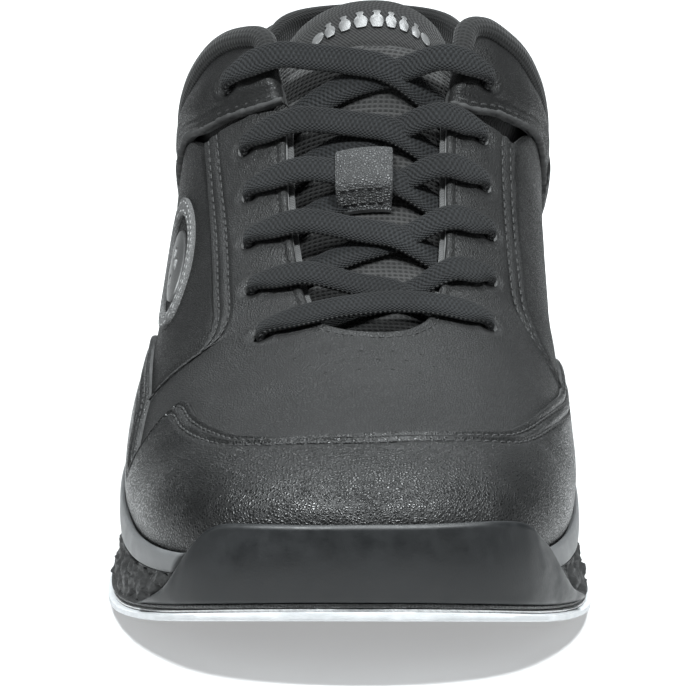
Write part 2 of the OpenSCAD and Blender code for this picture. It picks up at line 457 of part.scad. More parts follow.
// From hole a on its inside to hole b on its outside; rise_b is how far the second flap's face stands up there.
function crossing(a, b, middle_d, rise_b) = [
    lace_point(a, b, 0, -1.6, 3.6), lace_point(a, b, 0, -2.9, 3.6), lace_point(a, b, 0.008, under_d + 0.6, 3.8),
    lace_point(a, b, 0.04, under_d, 4.4), lace_point(a, b, 0.1, under_d, lace_w), lace_point(a, b, 0.22, under_d, lace_w),
    lace_point(a, b, 0.36, mix(under_d, middle_d, 0.5), lace_w), lace_point(a, b, 0.46, middle_d, lace_w),
    lace_point(a, b, 0.54, middle_d, lace_w), lace_point(a, b, 0.62, middle_d + 0.9, lace_w),
    lace_point(a, b, 0.7, mix(middle_d, over_d, 0.6), lace_w),
    lace_point(a, b, 0.78, over_d + rise_b * 0.6, lace_w), lace_point(a, b, 0.88, over_d + rise_b, lace_w),
    lace_point(a, b, 0.96, over_d + rise_b, 4.4), lace_point(a, b, 0.992, over_d + rise_b - 0.6, 3.8),
    lace_point(a, b, 1, 0.1 + rise_b * 0.7, 3.6), lace_point(a, b, 1, -1.6, 3.6)];
function turned(list) = [for (i = [len(list) - 1:-1:0]) list[i]];
function bar(a, b) = [lace_point(a, b, 0, 0.1, 3.6), lace_point(a, b, 0.01, over_d - 0.6, 3.8),
    for (f = [0.05, 0.15, 0.3, 0.45, 0.55, 0.7, 0.85, 0.95]) lace_point(a, b, f, over_d - 0.3 * sin(180 * f), f == 0.05 || f == 0.95 ? 4.4 : lace_w),
    lace_point(a, b, 0.99, over_d - 0.6, 3.8), lace_point(a, b, 1, 0.1, 3.6)];
upper_d = under_d + lace_t + 0.25;
function step(k) = k % 2 == 0 ? crossing(HOLES_OUT[k], HOLES_IN[k + 1], under_d, k == 4 ? 2.7 : 0)
                              : crossing(HOLES_IN[k], HOLES_OUT[k + 1], upper_d, k == 4 ? 2.7 : 0);
function other(k) = k % 2 == 0 ? crossing(HOLES_IN[k], HOLES_OUT[k + 1], upper_d, k == 4 ? 2.7 : 0)
                               : crossing(HOLES_OUT[k], HOLES_IN[k + 1], under_d, 0);
module lace() color("#26282b") at_home() {
    way_up = [for (k = [0:4]) each [for (i = [0:15]) step(k)[i]]];
    way_down = turned([for (k = [0:4]) each [for (i = [0:15]) other(k)[i]]]);
    swept(concat(way_down, bar(HOLES_IN[0], HOLES_OUT[0]), way_up));
}
// The free ends go inside, down the lining and forward over the sock liner.
TAIL_OUT = [[-29.5, 179.5, 101], [-27.9, 180.6, 99.7], [-26.6, 182.5, 98], [-26, 185.5, 95.5], [-26.5, 188.5, 91.5],
    [-28, 191, 86], [-30, 192.5, 78], [-31.5, 193, 68], [-32, 192, 58], [-31.5, 189, 49], [-30.5, 183, 42.5],
    [-29, 174, 37.5], [-27.5, 163, 34.9], [-26.5, 151, 33.8], [-26, 139, 33.3], [-26, 130, 33]];
TAIL_IN = [[25.4, 175.6, 103.4], [25.8, 176.8, 102.5], [26.8, 178.8, 101], [28, 181.8, 98], [28.5, 184.8, 94],
    [28.8, 187.3, 88.5], [28.8, 189, 80], [28.3, 189.5, 70], [29.2, 188.8, 60], [29.2, 186, 50.5], [28.4, 180, 43.8],
    [27, 171, 38.4], [25.8, 160, 35.2], [25, 148, 34], [24.5, 136, 33.3], [24.5, 127, 33.1]];
function along(list, n) = [for (i = [0:n]) curve(list, i / n)];
module lace_tail(route) swept([for (p = along(route, 45)) [p, [1, 0.1, 0.1], 3.2, 3.2]]);
module aglet(route) {
    n = len(route) - 1;
    way = route[n] - route[n - 1];
    dir = way / norm(way);
    translate(route[n]) rotate([0, acos(dir[2]), atan2(dir[1], dir[0])]) cylinder(h = 20, r = 1.7, $fn = 20);
}
module lace_tail_lateral() color("#26282b") at_home() lace_tail(TAIL_OUT);
module lace_tail_medial() color("#26282b") at_home() lace_tail(TAIL_IN);
module aglet_lateral() color("#101113") at_home() aglet(TAIL_OUT);
module aglet_medial() color("#101113") at_home() aglet(TAIL_IN);
module lace_keeper() color("#4a4d50") at_home() {
    rise_at = [0, 0.7, 1, 1, 1, 1, 0.6, 0];
    grid = function (d) [for (i = [0:7]) [for (j = [0:4]) let (back = mix(132, 148, i / 7), s = station(back))
        place(s, mix(-0.115, 0.03, j / 4), mix(tongue_d + 0.3, upper_d + lace_t / 2 + 2, rise_at[i]) + d)]];
    sheet(grid(1.2), grid(0));
}

// ---- small marks ----
module tongue_badge() color("#b9bcc0") at_home() {
    grid = function (d) [for (v = [0, 1]) [for (j = [0:14]) let (f = j / 7 - 1,
        u = mix(6.5, 7.0, v) / 8 - 0.035 * f * f, s = station(curve(TONGUE_BACK, u)))
        place(s, 0.16 * f, curve(TONGUE_DROP, u) + tongue_d + d)]];
    sheet(grid(0.75), grid(0.25));
}
EMBLEM = [151, -0.635];
function oval(r, d) = [for (k = [0:39]) let (a = 9 * k) place(station(EMBLEM[0] + 22 * r * cos(a)), EMBLEM[1] + 0.09 * r * sin(a), d)];
module emblem_ring() color("#6a6d70") at_home() sheet([oval(1, 1.2), oval(0.76, 1.2)], [oval(1, 0.5), oval(0.76, 0.5)], loop = true);
module emblem_ball() color("#8b8e91") at_home() sheet([oval(0.55, 1.2), oval(0.1, 1.2)], [oval(0.55, 0.5), oval(0.1, 0.5)], loop = true);

vamp();
vamp_lining();
toe_overlay();
toe_puff();
quarter_lateral();
quarter_medial();
collar_wing_lateral();
collar_wing_medial();
collar_band();
collar_foam();
quarter_lining();
heel_overlay();
heel_counter();
eyestay_backing_lateral();
eyestay_backing_medial();
tongue_face();
tongue_foam();
tongue_flap_face();
tongue_flap_foam();
tongue_badge();
lace_keeper();
lace();
lace_tail_lateral();
lace_tail_medial();
aglet_lateral();
aglet_medial();
emblem_ring();
emblem_ball();
strobel_board();
sock_liner();
shank();
midsole();
midsole_rim();
toe_guard();
slide_sole_hook_sheet();
slide_sole_loop_sheet();
slide_sole();
heel_hook_sheet();
heel_loop_sheet();
heel_pad();
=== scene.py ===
"""Looks of the bowling shoe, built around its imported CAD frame. Lengths are in millimetres until a mesh is made."""
import math

import bpy
import numpy as np
from mathutils import Matrix, Vector, noise


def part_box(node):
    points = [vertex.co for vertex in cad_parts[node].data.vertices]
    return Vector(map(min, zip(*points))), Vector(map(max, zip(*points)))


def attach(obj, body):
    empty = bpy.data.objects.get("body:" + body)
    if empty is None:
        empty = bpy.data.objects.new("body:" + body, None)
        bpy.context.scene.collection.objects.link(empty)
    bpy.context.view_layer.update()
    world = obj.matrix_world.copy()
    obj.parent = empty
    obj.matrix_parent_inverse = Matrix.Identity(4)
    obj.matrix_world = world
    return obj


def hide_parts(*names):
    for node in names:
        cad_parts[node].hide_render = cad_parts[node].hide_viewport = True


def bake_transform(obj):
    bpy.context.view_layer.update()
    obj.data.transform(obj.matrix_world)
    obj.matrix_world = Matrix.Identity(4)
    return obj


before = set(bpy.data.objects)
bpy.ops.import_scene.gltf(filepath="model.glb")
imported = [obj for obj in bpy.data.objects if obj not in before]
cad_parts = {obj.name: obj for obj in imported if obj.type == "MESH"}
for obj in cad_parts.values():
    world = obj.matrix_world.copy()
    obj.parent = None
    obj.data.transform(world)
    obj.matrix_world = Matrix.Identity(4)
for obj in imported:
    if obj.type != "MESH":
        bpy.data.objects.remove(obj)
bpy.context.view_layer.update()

MM = 0.001
TURN = 2 * np.pi
_, HEEL_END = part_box("heel_pad")
TOE_END, SOLE_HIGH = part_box("slide_sole")
HALF = HEEL_END.y / MM                                   # half of the sole's length
SOLE_WIDTH, SOLE_HALF, UPPER_LENGTH = 117.8, 151.0, 292.0    # of the part's source
WIDE = (SOLE_HIGH.x - TOE_END.x) / MM / SOLE_WIDTH
SPRING, SPRING_START = 18.0, 105.0                       # the toe's rise off the floor, and where it begins
TOE_GAP, UPPER = 5.0, UPPER_LENGTH * HALF / SOLE_HALF

# The same skin as in the part's source: eleven stations from the toe to the heel.
# -1 is the outer side of the foot and 1 the inner side.
FEATHER = {-1: [0, 31, 47, 54.5, 56, 50.5, 42, 38, 35.5, 24, 0], 1: [0, 28, 42, 48, 47.5, 41.5, 37, 36, 34, 23, 0]}
BULGE = {-1: [0, 33, 50, 57.5, 61, 59, 56, 50, 41, 27, 0], 1: [0, 30, 46.5, 53.5, 55.5, 54.5, 53, 49, 40.5, 26, 0]}
SOLE = {-1: [0, 36, 53, 61.5, 62, 56, 49, 45, 41, 29.5, 0], 1: [0, 33, 48.5, 55, 52.5, 45, 41, 41, 39, 28.5, 0]}
FEATHER_Z = [30, 30, 26.5, 24.5, 24.5, 26, 28.5, 31, 33, 34, 34]
RIDGE_Z = [37, 46, 53, 58, 72, 100, 138, 160, 165, 165, 165]
RIDGE_X = [1, 1, 2, 3, 4, 4, 2, 1, 0, 0, 0]
BULGE_H = [0.6, 0.6, 0.55, 0.5, 0.5, 0.5, 0.45, 0.4, 0.38, 0.38, 0.38]
CROWN_W = [0.6, 0.6, 0.62, 0.6, 0.56, 0.56, 0.75, 0.9, 0.9, 0.9, 0.9]
SIDEWALL_Z = [27, 26.3, 21.5, 18.3, 17.3, 17.5, 19, 20.5, 22, 23, 23]
RIM_RISE = [0.4, 0.4, 0.4, 0.5, 1, 2, 3.5, 5, 6.5, 7.5, 7.5]
LEAN, LEAN_FROM, LEAN_OVER, LEAN_Z = 9, 225, 70, 50      # the heel's top leans forward
PINCH, PINCH_STATION, PINCH_HEIGHT = 0.2, (0.66, 0.14), (55, 45)    # the opening narrows towards its top
PAD_T, TAPE_T = 2.0, 0.8
MIDSOLE_Z = PAD_T + 2 * TAPE_T + 0.3


def curve(points, u):
    """A smooth curve through the points, for u from 0 to 1."""
    p = np.asarray(points, float)
    n = len(p) - 1
    v = np.clip(np.asarray(u, float), 0, 1) * n
    i = np.minimum(v.astype(int), n - 1)
    f = v - i
    q = np.concatenate([[2 * p[0] - p[1]], p, [2 * p[-1] - p[-2]]])
    a, b, c, d = q[i], q[i + 1], q[i + 2], q[i + 3]
    if p.ndim > 1:
        f = f[..., None]
    return 0.5 * (2 * b + (c - a) * f + (2 * a - 5 * b + 4 * c - d) * f**2 + (3 * b - a - 3 * c + d) * f**3)


def mix(a, b, f):
    return a + (b - a) * f


def smooth(f):
    g = np.clip(f, 0, 1)
    return g * g * (3 - 2 * g)


def bell(x, width):
    return np.exp(-(x / width)**2)


def angles(n):
    """n angles round a circle."""
    return np.linspace(0, TURN, n + 1)[:-1]


def unit(v):
    return v / np.maximum(np.linalg.norm(v, axis=-1, keepdims=True), 1e-9)


def travelled(p):
    """Length along a line of points, from its start to each of them."""
    return np.concatenate([[0], np.cumsum(np.linalg.norm(np.diff(p, axis=0), axis=1))])


def sided(table, value, at):
    return np.where(value < 0, -curve(table[-1], at), curve(table[1], at)) * WIDE


FINE = np.linspace(0, 1, 97)
X_SHIFT = (curve(SOLE[-1], FINE).max() - curve(SOLE[1], FINE).max()) / 2 * WIDE


def station(back):
    """The station of a point so many millimetres behind the toe."""
    return np.arccos(np.clip(1 - 2 * (np.asarray(back, float) - TOE_GAP) / UPPER, -1, 1)) / np.pi


def skin(s, t):
    """Points of the upper's skin in the row frame; t goes from -1 at the outer foot edge over 0 on top to 1."""
    s, t = np.broadcast_arrays(np.asarray(s, float), np.asarray(t, float))
    s = np.clip(s, 0, 1)
    k = (1 - np.abs(t))
    j = 1 - k
    foot, bulge = sided(FEATHER, t, s), sided(BULGE, t, s)
    top = curve(RIDGE_X, s) * np.minimum(1, 3 * np.sin(np.pi * s))
    low, high = curve(FEATHER_Z, s), curve(RIDGE_Z, s)
    mid, crown = mix(low, high, curve(BULGE_H, s)), mix(top, bulge, curve(CROWN_W, s))
    x = j**3 * foot + 3 * k * j * j * bulge + 3 * k * k * j * crown + k**3 * top
    z = j**3 * low + 3 * k * j * j * mid + 3 * k * k * j * high + k**3 * high
    back = TOE_GAP + UPPER * (1 - np.cos(np.pi * s)) / 2
    lean = LEAN * smooth((back - LEAN_FROM) / LEAN_OVER) * (np.maximum(0, z - LEAN_Z) / LEAN_Z)**2
    pinch = 1 - PINCH * (smooth((s - PINCH_STATION[0]) / PINCH_STATION[1])
                         * smooth((z - PINCH_HEIGHT[0]) / PINCH_HEIGHT[1]))
    return np.stack([x * pinch + X_SHIFT, back - lean - HALF, z], -1)


def normal(s, t):
    e = 0.004
    a = skin(np.minimum(1, s + e), t) - skin(np.maximum(0, s - e), t)
    b = skin(s, t + e) - skin(s, t - e)
    return unit(np.cross(b, a))


def place(s, t, d):
    """Points at depth d over the skin, outwards."""
    return skin(s, t) + np.asarray(d, float)[..., None] * normal(s, t)


def on(st, d):
    """Points at depth d over an array of [station, t]."""
    return place(st[..., 0], st[..., 1], np.broadcast_to(d, st.shape[:-1]))


def t_at(s, side, z):
    """The t at which the skin reaches height z."""
    lo, hi = np.zeros_like(s), np.ones_like(s)
    for _ in range(18):
        m = (lo + hi) / 2
        below = skin(s, side * (1 - m))[..., 2] < z
        lo, hi = np.where(below, m, lo), np.where(below, hi, m)
    return side * (1 - (lo + hi) / 2)


def places(pairs):
    """[station, t] of a list of [back, t]."""
    p = np.array(pairs, float)
    return np.stack([np.maximum(0.012, station(p[:, 0])), p[:, 1]], -1)


def heights(pairs, side):
    """[station, t] of a list of [back, height] on one side."""
    p = np.array(pairs, float)
    s = station(p[:, 0])
    return np.stack([s, t_at(s, side, p[:, 1])], -1)


def traced(flat, tall, side):
    """A line through points [back, t] and then points [back, height] on one side."""
    return np.concatenate([places(flat), heights(tall, side)])


def strip(a, b, rows, cols, rise=lambda v: v):
    """A grid of [station, t] between two lines."""
    u, v = np.linspace(0, 1, cols + 1), rise(np.linspace(0, 1, rows + 1))
    return mix(curve(a, u)[None], curve(b, u)[None], v[:, None, None])


def filled(low, high, front, rear, rows, cols):
    """A grid of [station, t] inside four lines that meet at their ends."""
    u, v = np.linspace(0, 1, cols + 1)[None, :, None], np.linspace(0, 1, rows + 1)[:, None, None]
    lo, hi, fr, re = (curve(e, w.ravel()) for e, w in ((low, u), (high, u), (front, v), (rear, v)))
    return (mix(lo[None], hi[None], v) + mix(fr[:, None], re[:, None], u)
            - mix(mix(low[0], low[-1], u), mix(high[0], high[-1], u), v))


def round_heel(out, inner):
    """Grids of the outer and the inner side that meet at the middle of the heel."""
    return np.concatenate([out, inner[:, -2::-1]], 1)


# ---- meshes ----
def link(name, data):
    obj = bpy.data.objects.new(name, data)
    bpy.context.scene.collection.objects.link(obj)
    return obj


def piece(name, verts, faces, body="shoe", slot=None, nodes=(), uv=None, look="", face_slots=None, sharp=40):
    """Makes a mesh from points in millimetres, parents it to the empty of the body it moves with, and hides the CAD
    nodes that it stands for.
    """
    mesh = bpy.data.meshes.new(name)
    mesh.from_pydata((np.asarray(verts, float) * MM).tolist(), [], [list(map(int, f)) for f in faces])
    if uv is not None:
        layer = mesh.uv_layers.new(name="Weave")
        loops = np.empty(len(mesh.loops), int)
        mesh.loops.foreach_get("vertex_index", loops)
        layer.data.foreach_set("uv", np.asarray(uv, float)[loops].astype(np.float32).ravel())
    mesh.polygons.foreach_set("use_smooth", np.ones(len(mesh.polygons), bool))
    for key in look.split():
        mesh.materials.append(MAT[key])
    if face_slots is not None:
        mesh.polygons.foreach_set("material_index", np.asarray(face_slots, np.int32))
    mesh.validate()
    mesh.set_sharp_from_angle(angle=math.radians(sharp))
    obj = link(name, mesh)
    if body:
        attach(obj, body)
    if nodes:
        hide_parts(*nodes)
    return obj


def ridged(n, dense=0.75):
    """n + 1 values from 0 to 1 that stand closer together near both ends."""
    u = np.linspace(0, 1, n + 1)
    return mix(u, (1 - np.cos(np.pi * u)) / 2, dense)


def lengths(points, axis):
    """Length in millimetres along one axis of a grid of points, from its start."""
    step = np.linalg.norm(np.diff(points, axis=axis), axis=-1)
    pad = [(0, 0), (0, 0)]
    pad[axis] = (1, 0)
    return np.cumsum(np.pad(step, pad), axis=axis)


def ring_quads(rings, sides, closed=False):
    """Faces between rings of points, and from the last ring back to the first if the whole is closed."""
    i, j = np.meshgrid(np.arange(rings if closed else rings - 1), np.arange(sides), indexing="ij")
    here, there, beside = i * sides, (i + 1) % rings * sides, (j + 1) % sides
    return np.stack([here + j, here + beside, there + beside, there + j], -1).reshape(-1, 4)


class Sheet:
    """A piece on the skin: a fine grid of [station, t] with its points, normals and distances to its edges."""

    def __init__(self, st):
        self.st = st
        self.skin = on(st, 0.0)
        self.out = normal(st[..., 0], st[..., 1])
        a, b = lengths(self.skin, 0), lengths(self.skin, 1)
        self.edge = {"low": a, "high": a[-1:] - a, "front": b, "rear": b[:, -1:] - b}
        self.ends = np.minimum(b, self.edge["rear"])

    def at(self, d):
        return self.skin + np.broadcast_to(np.asarray(d, float), self.st.shape[:-1])[..., None] * self.out

    def line(self, edge, distance, start=0.0, stop=0.0):
        """[station, t] along a line that runs inside the low or high edge, less a length at each end."""
        order = slice(None) if edge == "low" else slice(None, None, -1)
        gap, grid = self.edge[edge][order], self.st[order]
        n, m = gap.shape
        row = np.clip((gap < distance).sum(0), 1, n - 1)
        col = np.arange(m)
        lo, hi = gap[row - 1, col], gap[row, col]
        f = np.clip((distance - lo) / np.maximum(hi - lo, 1e-6), 0, 1)[:, None]
        path = mix(grid[row - 1, col], grid[row, col], f)
        along = travelled(on(path, 0.0))
        keep = (along >= start) & (along <= along[-1] - stop)
        return path[keep]


def sheet_mesh(name, outer, inner, loop=False, keep=None, edge_slot=None, **kw):
    """A closed sheet between two grids of points. keep marks the faces that are there; the rest are holes."""
    rows, cols = outer.shape[:2]
    n = rows * cols
    index = np.arange(n).reshape(rows, cols)
    last = cols if loop else cols - 1
    right = np.roll(index, -1, 1)[:, :last]
    here = index[:, :last]
    quads = np.stack([here[:-1], here[1:], right[1:], right[:-1]], -1)
    if keep is None:
        keep = np.ones(quads.shape[:2], bool)
    r, k = rows // 2, cols // 2
    way = np.cross(outer[r, k] - outer[r, k - 1], outer[r, k] - outer[r - 1, k])
    top = quads[keep]
    if np.dot(way, outer[r, k] - inner[r, k]) <= 0:
        top = top[:, ::-1]
    edges = np.concatenate([top[:, [i, (i + 1) % 4]] for i in range(4)])
    key = edges[:, 0].astype(np.int64) * n + edges[:, 1]
    back = edges[:, 1].astype(np.int64) * n + edges[:, 0]
    rim = edges[~np.isin(key, back)]
    slots = None
    if edge_slot is not None:
        slots = np.concatenate([np.zeros(2 * len(top), int), np.full(len(rim), edge_slot)])
    wall = np.stack([rim[:, 1], rim[:, 0], rim[:, 0] + n, rim[:, 1] + n], -1)
    faces = np.concatenate([top, top[:, ::-1] + n, wall])
    verts = np.concatenate([outer.reshape(-1, 3), inner.reshape(-1, 3)])
    used = np.unique(faces)
    new = np.full(2 * n, -1)
    new[used] = np.arange(len(used))
    uv = np.stack([lengths(outer, 1), lengths(outer, 0)], -1).reshape(-1, 2) * MM
    uv = np.concatenate([uv, uv])[used]
    return piece(name, verts[used], new[faces], uv=uv, face_slots=slots, **kw)


def leather_sheet(part, outer, inner, look, slot="overlay_leather", side="", keep=None):
    """A leather piece that stands for its CAD node, with its cut edge in the second look."""
    return sheet_mesh(part + "_leather" + side, outer, inner, keep=keep, edge_slot=1, slot=slot,
                      nodes=[part + side], look=look)


def punched(sheet, outer, inner, holes, radius):
    """Moves the points round each lace hole onto its rim, and returns which faces are left."""
    off, away = 99, 90                                   # a radius for points that the hole can't reach
    keep = np.ones((outer.shape[0] - 1, outer.shape[1] - 1), bool)
    for back, t in holes:
        s = station(back)
        c, n = place(s, t, 0.0), normal(s, t)
        flat = sheet.skin - c
        flat = flat - (flat @ n)[..., None] * n
        r = np.where(np.linalg.norm(sheet.skin - c, axis=-1) > 4 * radius, off, np.linalg.norm(flat, axis=-1))
        middle = np.stack([r[:-1, :-1], r[1:, :-1], r[1:, 1:], r[:-1, 1:]]).mean(0)
        gone = middle < radius
        keep &= ~gone
        inside = np.zeros(r.shape, bool)
        outside = np.zeros(r.shape, bool)
        for di in (0, 1):
            for dj in (0, 1):
                view = (slice(di, r.shape[0] - 1 + di), slice(dj, r.shape[1] - 1 + dj))
                inside[view] |= gone
                outside[view] |= ~gone & (middle < away)
        rim = inside & outside
        move = (flat / np.maximum(r, 1e-6)[..., None]) * (radius - r)[..., None]
        for grid in (outer, inner):
            grid[rim] += move[rim]
    return keep


def rounded(e, r):
    """How far a rounded edge has dropped, at distance e inside it."""
    f = np.clip(e / r, 0, 1)
    return r * (1 - np.sqrt(np.maximum(0, 1 - (1 - f)**2)))


def groove(e, at, depth, width=0.7):
    return -depth * bell(e - at, width)


RNG = np.random.default_rng(7)
SEWN = {}
JITTER = 0.04
STITCH = ((0, 0.25, -0.35), (0.16, 0.85, -0.02), (0.5, 1.0, 0.22), (0.84, 0.85, -0.02), (1, 0.25, -0.35))
STITCH_SIDES, STITCH_FLAT = 6, 0.85


def add_stitches(group, p, up, pitch=2.9, length=2.1, radius=0.3, sink=0.12):
    """Adds a row of stitches along points to a group that becomes one piece."""
    along = travelled(p)
    count = int((along[-1] - length) / pitch)

    def sample(values, x):
        return np.stack([np.interp(x, along, values[:, k]) for k in range(3)], -1)

    for m in length / 2 + pitch * np.arange(count + 1):
        jitter = RNG.normal(0, JITTER, 3)
        a, b = sample(p, m - length / 2), sample(p, m + length / 2)
        n, f = unit(sample(up, m)), unit(b - a)
        w = np.cross(f, n)
        verts, faces = SEWN.setdefault(group, [[], []])
        base = len(verts)
        for x, r, lift in STITCH:                        # how far along, how thick, how high
            c = mix(a, b, x) + n * (lift * radius - sink) + jitter * radius
            for t in angles(STITCH_SIDES):
                verts.append(c + radius * r * (math.cos(t) * w + math.sin(t) * n * STITCH_FLAT))
        faces += [tuple(q) for q in base + ring_quads(len(STITCH), STITCH_SIDES)]
        last = len(verts) - STITCH_SIDES
        faces.append(tuple(base + j for j in range(STITCH_SIDES - 1, -1, -1)))
        faces.append(tuple(last + j for j in range(STITCH_SIDES)))


def stitches(group, path, d, *sizes):
    """Adds a row of stitches along [station, t] points at depth d."""
    add_stitches(group, on(path, d), normal(path[:, 0], path[:, 1]), *sizes)


def sew(group, look, slot):
    verts, faces = SEWN.pop(group)
    piece(group, verts, faces, slot=slot, look=look, sharp=80)


CORD_GIRTH = 7                                           # the cord's UV width across, in millimetres


def tube(name, points, wide, w, t, sides=14, power=0.75, **kw):
    """A flat-oval cord swept along points: wide is its broad direction, w its width and t its thickness at each."""
    p = np.asarray(points, float)
    way = unit(np.gradient(p, axis=0))
    wide = unit(wide - (wide * way).sum(-1, keepdims=True) * way)
    up = np.cross(way, wide)
    ang = TURN * np.arange(sides) / sides
    c, s = np.cos(ang), np.sin(ang)
    ex, ez = np.sign(c) * np.abs(c)**power, np.sign(s) * np.abs(s)**power
    w, t = (np.broadcast_to(np.asarray(v, float), len(p)) for v in (w, t))
    rings = (p[:, None] + wide[:, None] * ex[None, :, None] * (w / 2)[:, None, None]
             + up[:, None] * ez[None, :, None] * (t / 2)[:, None, None])
    n = len(p)
    quads = ring_quads(n, sides)[:, [0, 3, 2, 1]]
    faces = [*quads, list(range(sides)), list(range(n * sides - 1, (n - 1) * sides - 1, -1))]
    around = np.minimum(ang, TURN - ang) / np.pi * CORD_GIRTH
    uv = np.stack(np.broadcast_arrays(travelled(p)[:, None] * MM, around[None, :] * MM), -1)
    return piece(name, rings.reshape(-1, 3), faces, uv=uv.reshape(-1, 2), **kw)


def smooth_path(points, n):
    return curve(points, np.linspace(0, 1, n))


# ---- materials ----
def is_socket(value):
    return hasattr(value, "links")


def four(colour):
    return (*colour, 1)


class Nodes:
    """A node material under construction, in object coordinates."""

    def __init__(self, name):
        self.material = bpy.data.materials.new(name)
        self.material.use_nodes = True
        self.tree = self.material.node_tree
        self.tree.nodes.clear()
        out = self.add("OutputMaterial")
        self.shader = self.add("BsdfPrincipled")
        self.feed(out.inputs["Surface"], self.shader.outputs["BSDF"])
        self.where = self.add("TexCoord").outputs["Object"]

    def add(self, kind, **values):
        node = self.tree.nodes.new("ShaderNode" + kind)
        for key, value in values.items():
            setattr(node, key, value)
        return node

    def feed(self, socket, value):
        """Links a socket to an output, or gives it a plain value."""
        if is_socket(value):
            self.tree.links.new(value, socket)
        else:
            socket.default_value = value

    def put(self, node, **values):
        for key, value in values.items():
            self.feed(node.inputs[key.replace("_", " ")], value)
        return node

    def noise(self, scale, detail=4.0, rough=0.55):
        node = self.add("TexNoise")
        self.put(node, Vector=self.where, Scale=scale, Detail=detail, Roughness=rough)
        return node.outputs["Fac"]

    def cells(self, scale, feature="F1", where=None, randomness=1.0):
        node = self.add("TexVoronoi", feature=feature)
        self.put(node, Vector=where or self.where, Scale=scale, Randomness=randomness)
        return node.outputs["Distance"]

    def math(self, operation, *values):
        node = self.add("Math", operation=operation)
        for socket, value in zip(node.inputs, values):
            self.feed(socket, value)
        return node.outputs[0]

    def plus(self, a, b):
        return self.math("ADD", a, b)

    def times(self, a, b):
        return self.math("MULTIPLY", a, b)

    def sine(self, a):
        return self.math("SINE", a)

    def half_each(self, a, b):
        return self.plus(self.times(a, 0.5), self.times(b, 0.5))

    def remap(self, value, low, high, a=0.0, b=1.0):
        """A value from a to b, spread over low to high."""
        node = self.add("MapRange")
        for key, number in zip(("Value", "From Min", "From Max", "To Min", "To Max"), (value, a, b, low, high)):
            self.feed(node.inputs[key], number)
        return node.outputs[0]

    def blend(self, fac, a, b):
        node = self.add("Mix", data_type="RGBA")
        for k, value in ((0, fac), (6, a), (7, b)):      # the factor and the two colours
            self.feed(node.inputs[k], four(value) if k and not is_socket(value) else value)
        return node.outputs[2]

    def bump(self, height, distance, strength=1.0, over=None):
        node = self.add("Bump")
        self.put(node, Height=height, Distance=distance, Strength=strength)
        if over is not None:
            self.feed(node.inputs["Normal"], over)
        return node.outputs["Normal"]

    def weave(self, across, along, uv):
        """The phases of the threads in the two directions of a cloth."""
        split = self.add("SeparateXYZ")
        self.feed(split.inputs[0], self.add("UVMap", uv_map="Weave").outputs[0] if uv else self.where)
        return self.times(split.outputs[0], TURN / along), self.times(split.outputs[1], TURN / across)

    def done(self, colour, rough, normal, **values):
        self.put(self.shader, Base_Color=colour, Roughness=rough, Normal=normal, **values)
        return self.material


def grey(v, warm=0.0):
    return (v * (1 + warm), v, v * (1 - warm))


def leather(name, dark, light, rough, depth, cell, level=0.3):
    """Coated leather: small flat-topped grains parted by sharp creases, with broad soft unevenness."""
    m = Nodes(name)
    shift, warp = m.add("TexNoise"), m.add("VectorMath", operation="MULTIPLY_ADD")
    m.put(shift, Vector=m.where, Scale=700.0, Detail=2.0)
    for socket, value in zip(warp.inputs, (shift.outputs["Color"], (0.0007,) * 3, m.where)):
        m.feed(socket, value)
    grains = m.remap(m.cells(cell, "DISTANCE_TO_EDGE", warp.outputs[0]), 0.0, 1.0, 0.0, 0.3)
    pores = m.noise(1900, 3, 0.7)
    stretch = m.remap(m.noise(70, 3), 0.45, 1.0, 0.3, 0.7)
    height = m.times(m.plus(grains, m.times(pores, 0.5)), stretch)
    broad = m.bump(m.noise(260, 3, 0.6), 0.00012)
    patch = m.noise(18, 3)
    tone = m.blend(m.remap(patch, 0.0, 1.0, 0.35, 0.68), dark, light)
    # The creases are painted darker than the grain tops: painted shade in the creases.
    colour = m.blend(m.remap(grains, 0.7, 0.0), tone, grey(dark[0] * 0.3))
    crease_rough = m.times(m.math("SUBTRACT", 1.0, grains), 0.4)
    roughness = m.plus(m.remap(patch, rough - 0.05, rough + 0.08, 0.3, 0.7), crease_rough)
    return m.done(colour, roughness, m.bump(height, depth, 1.0, broad), Specular_IOR_Level=level)


def raw_edge(name, colour):
    """The cut edge of leather: layered fibres."""
    m = Nodes(name)
    tone = m.blend(m.remap(m.noise(220, 3), 0, 1, 0.3, 0.7), grey(colour * 0.55), grey(colour))
    return m.done(tone, 0.85, m.bump(m.noise(1500, 5, 0.7), 0.00008), Specular_IOR_Level=0.25)


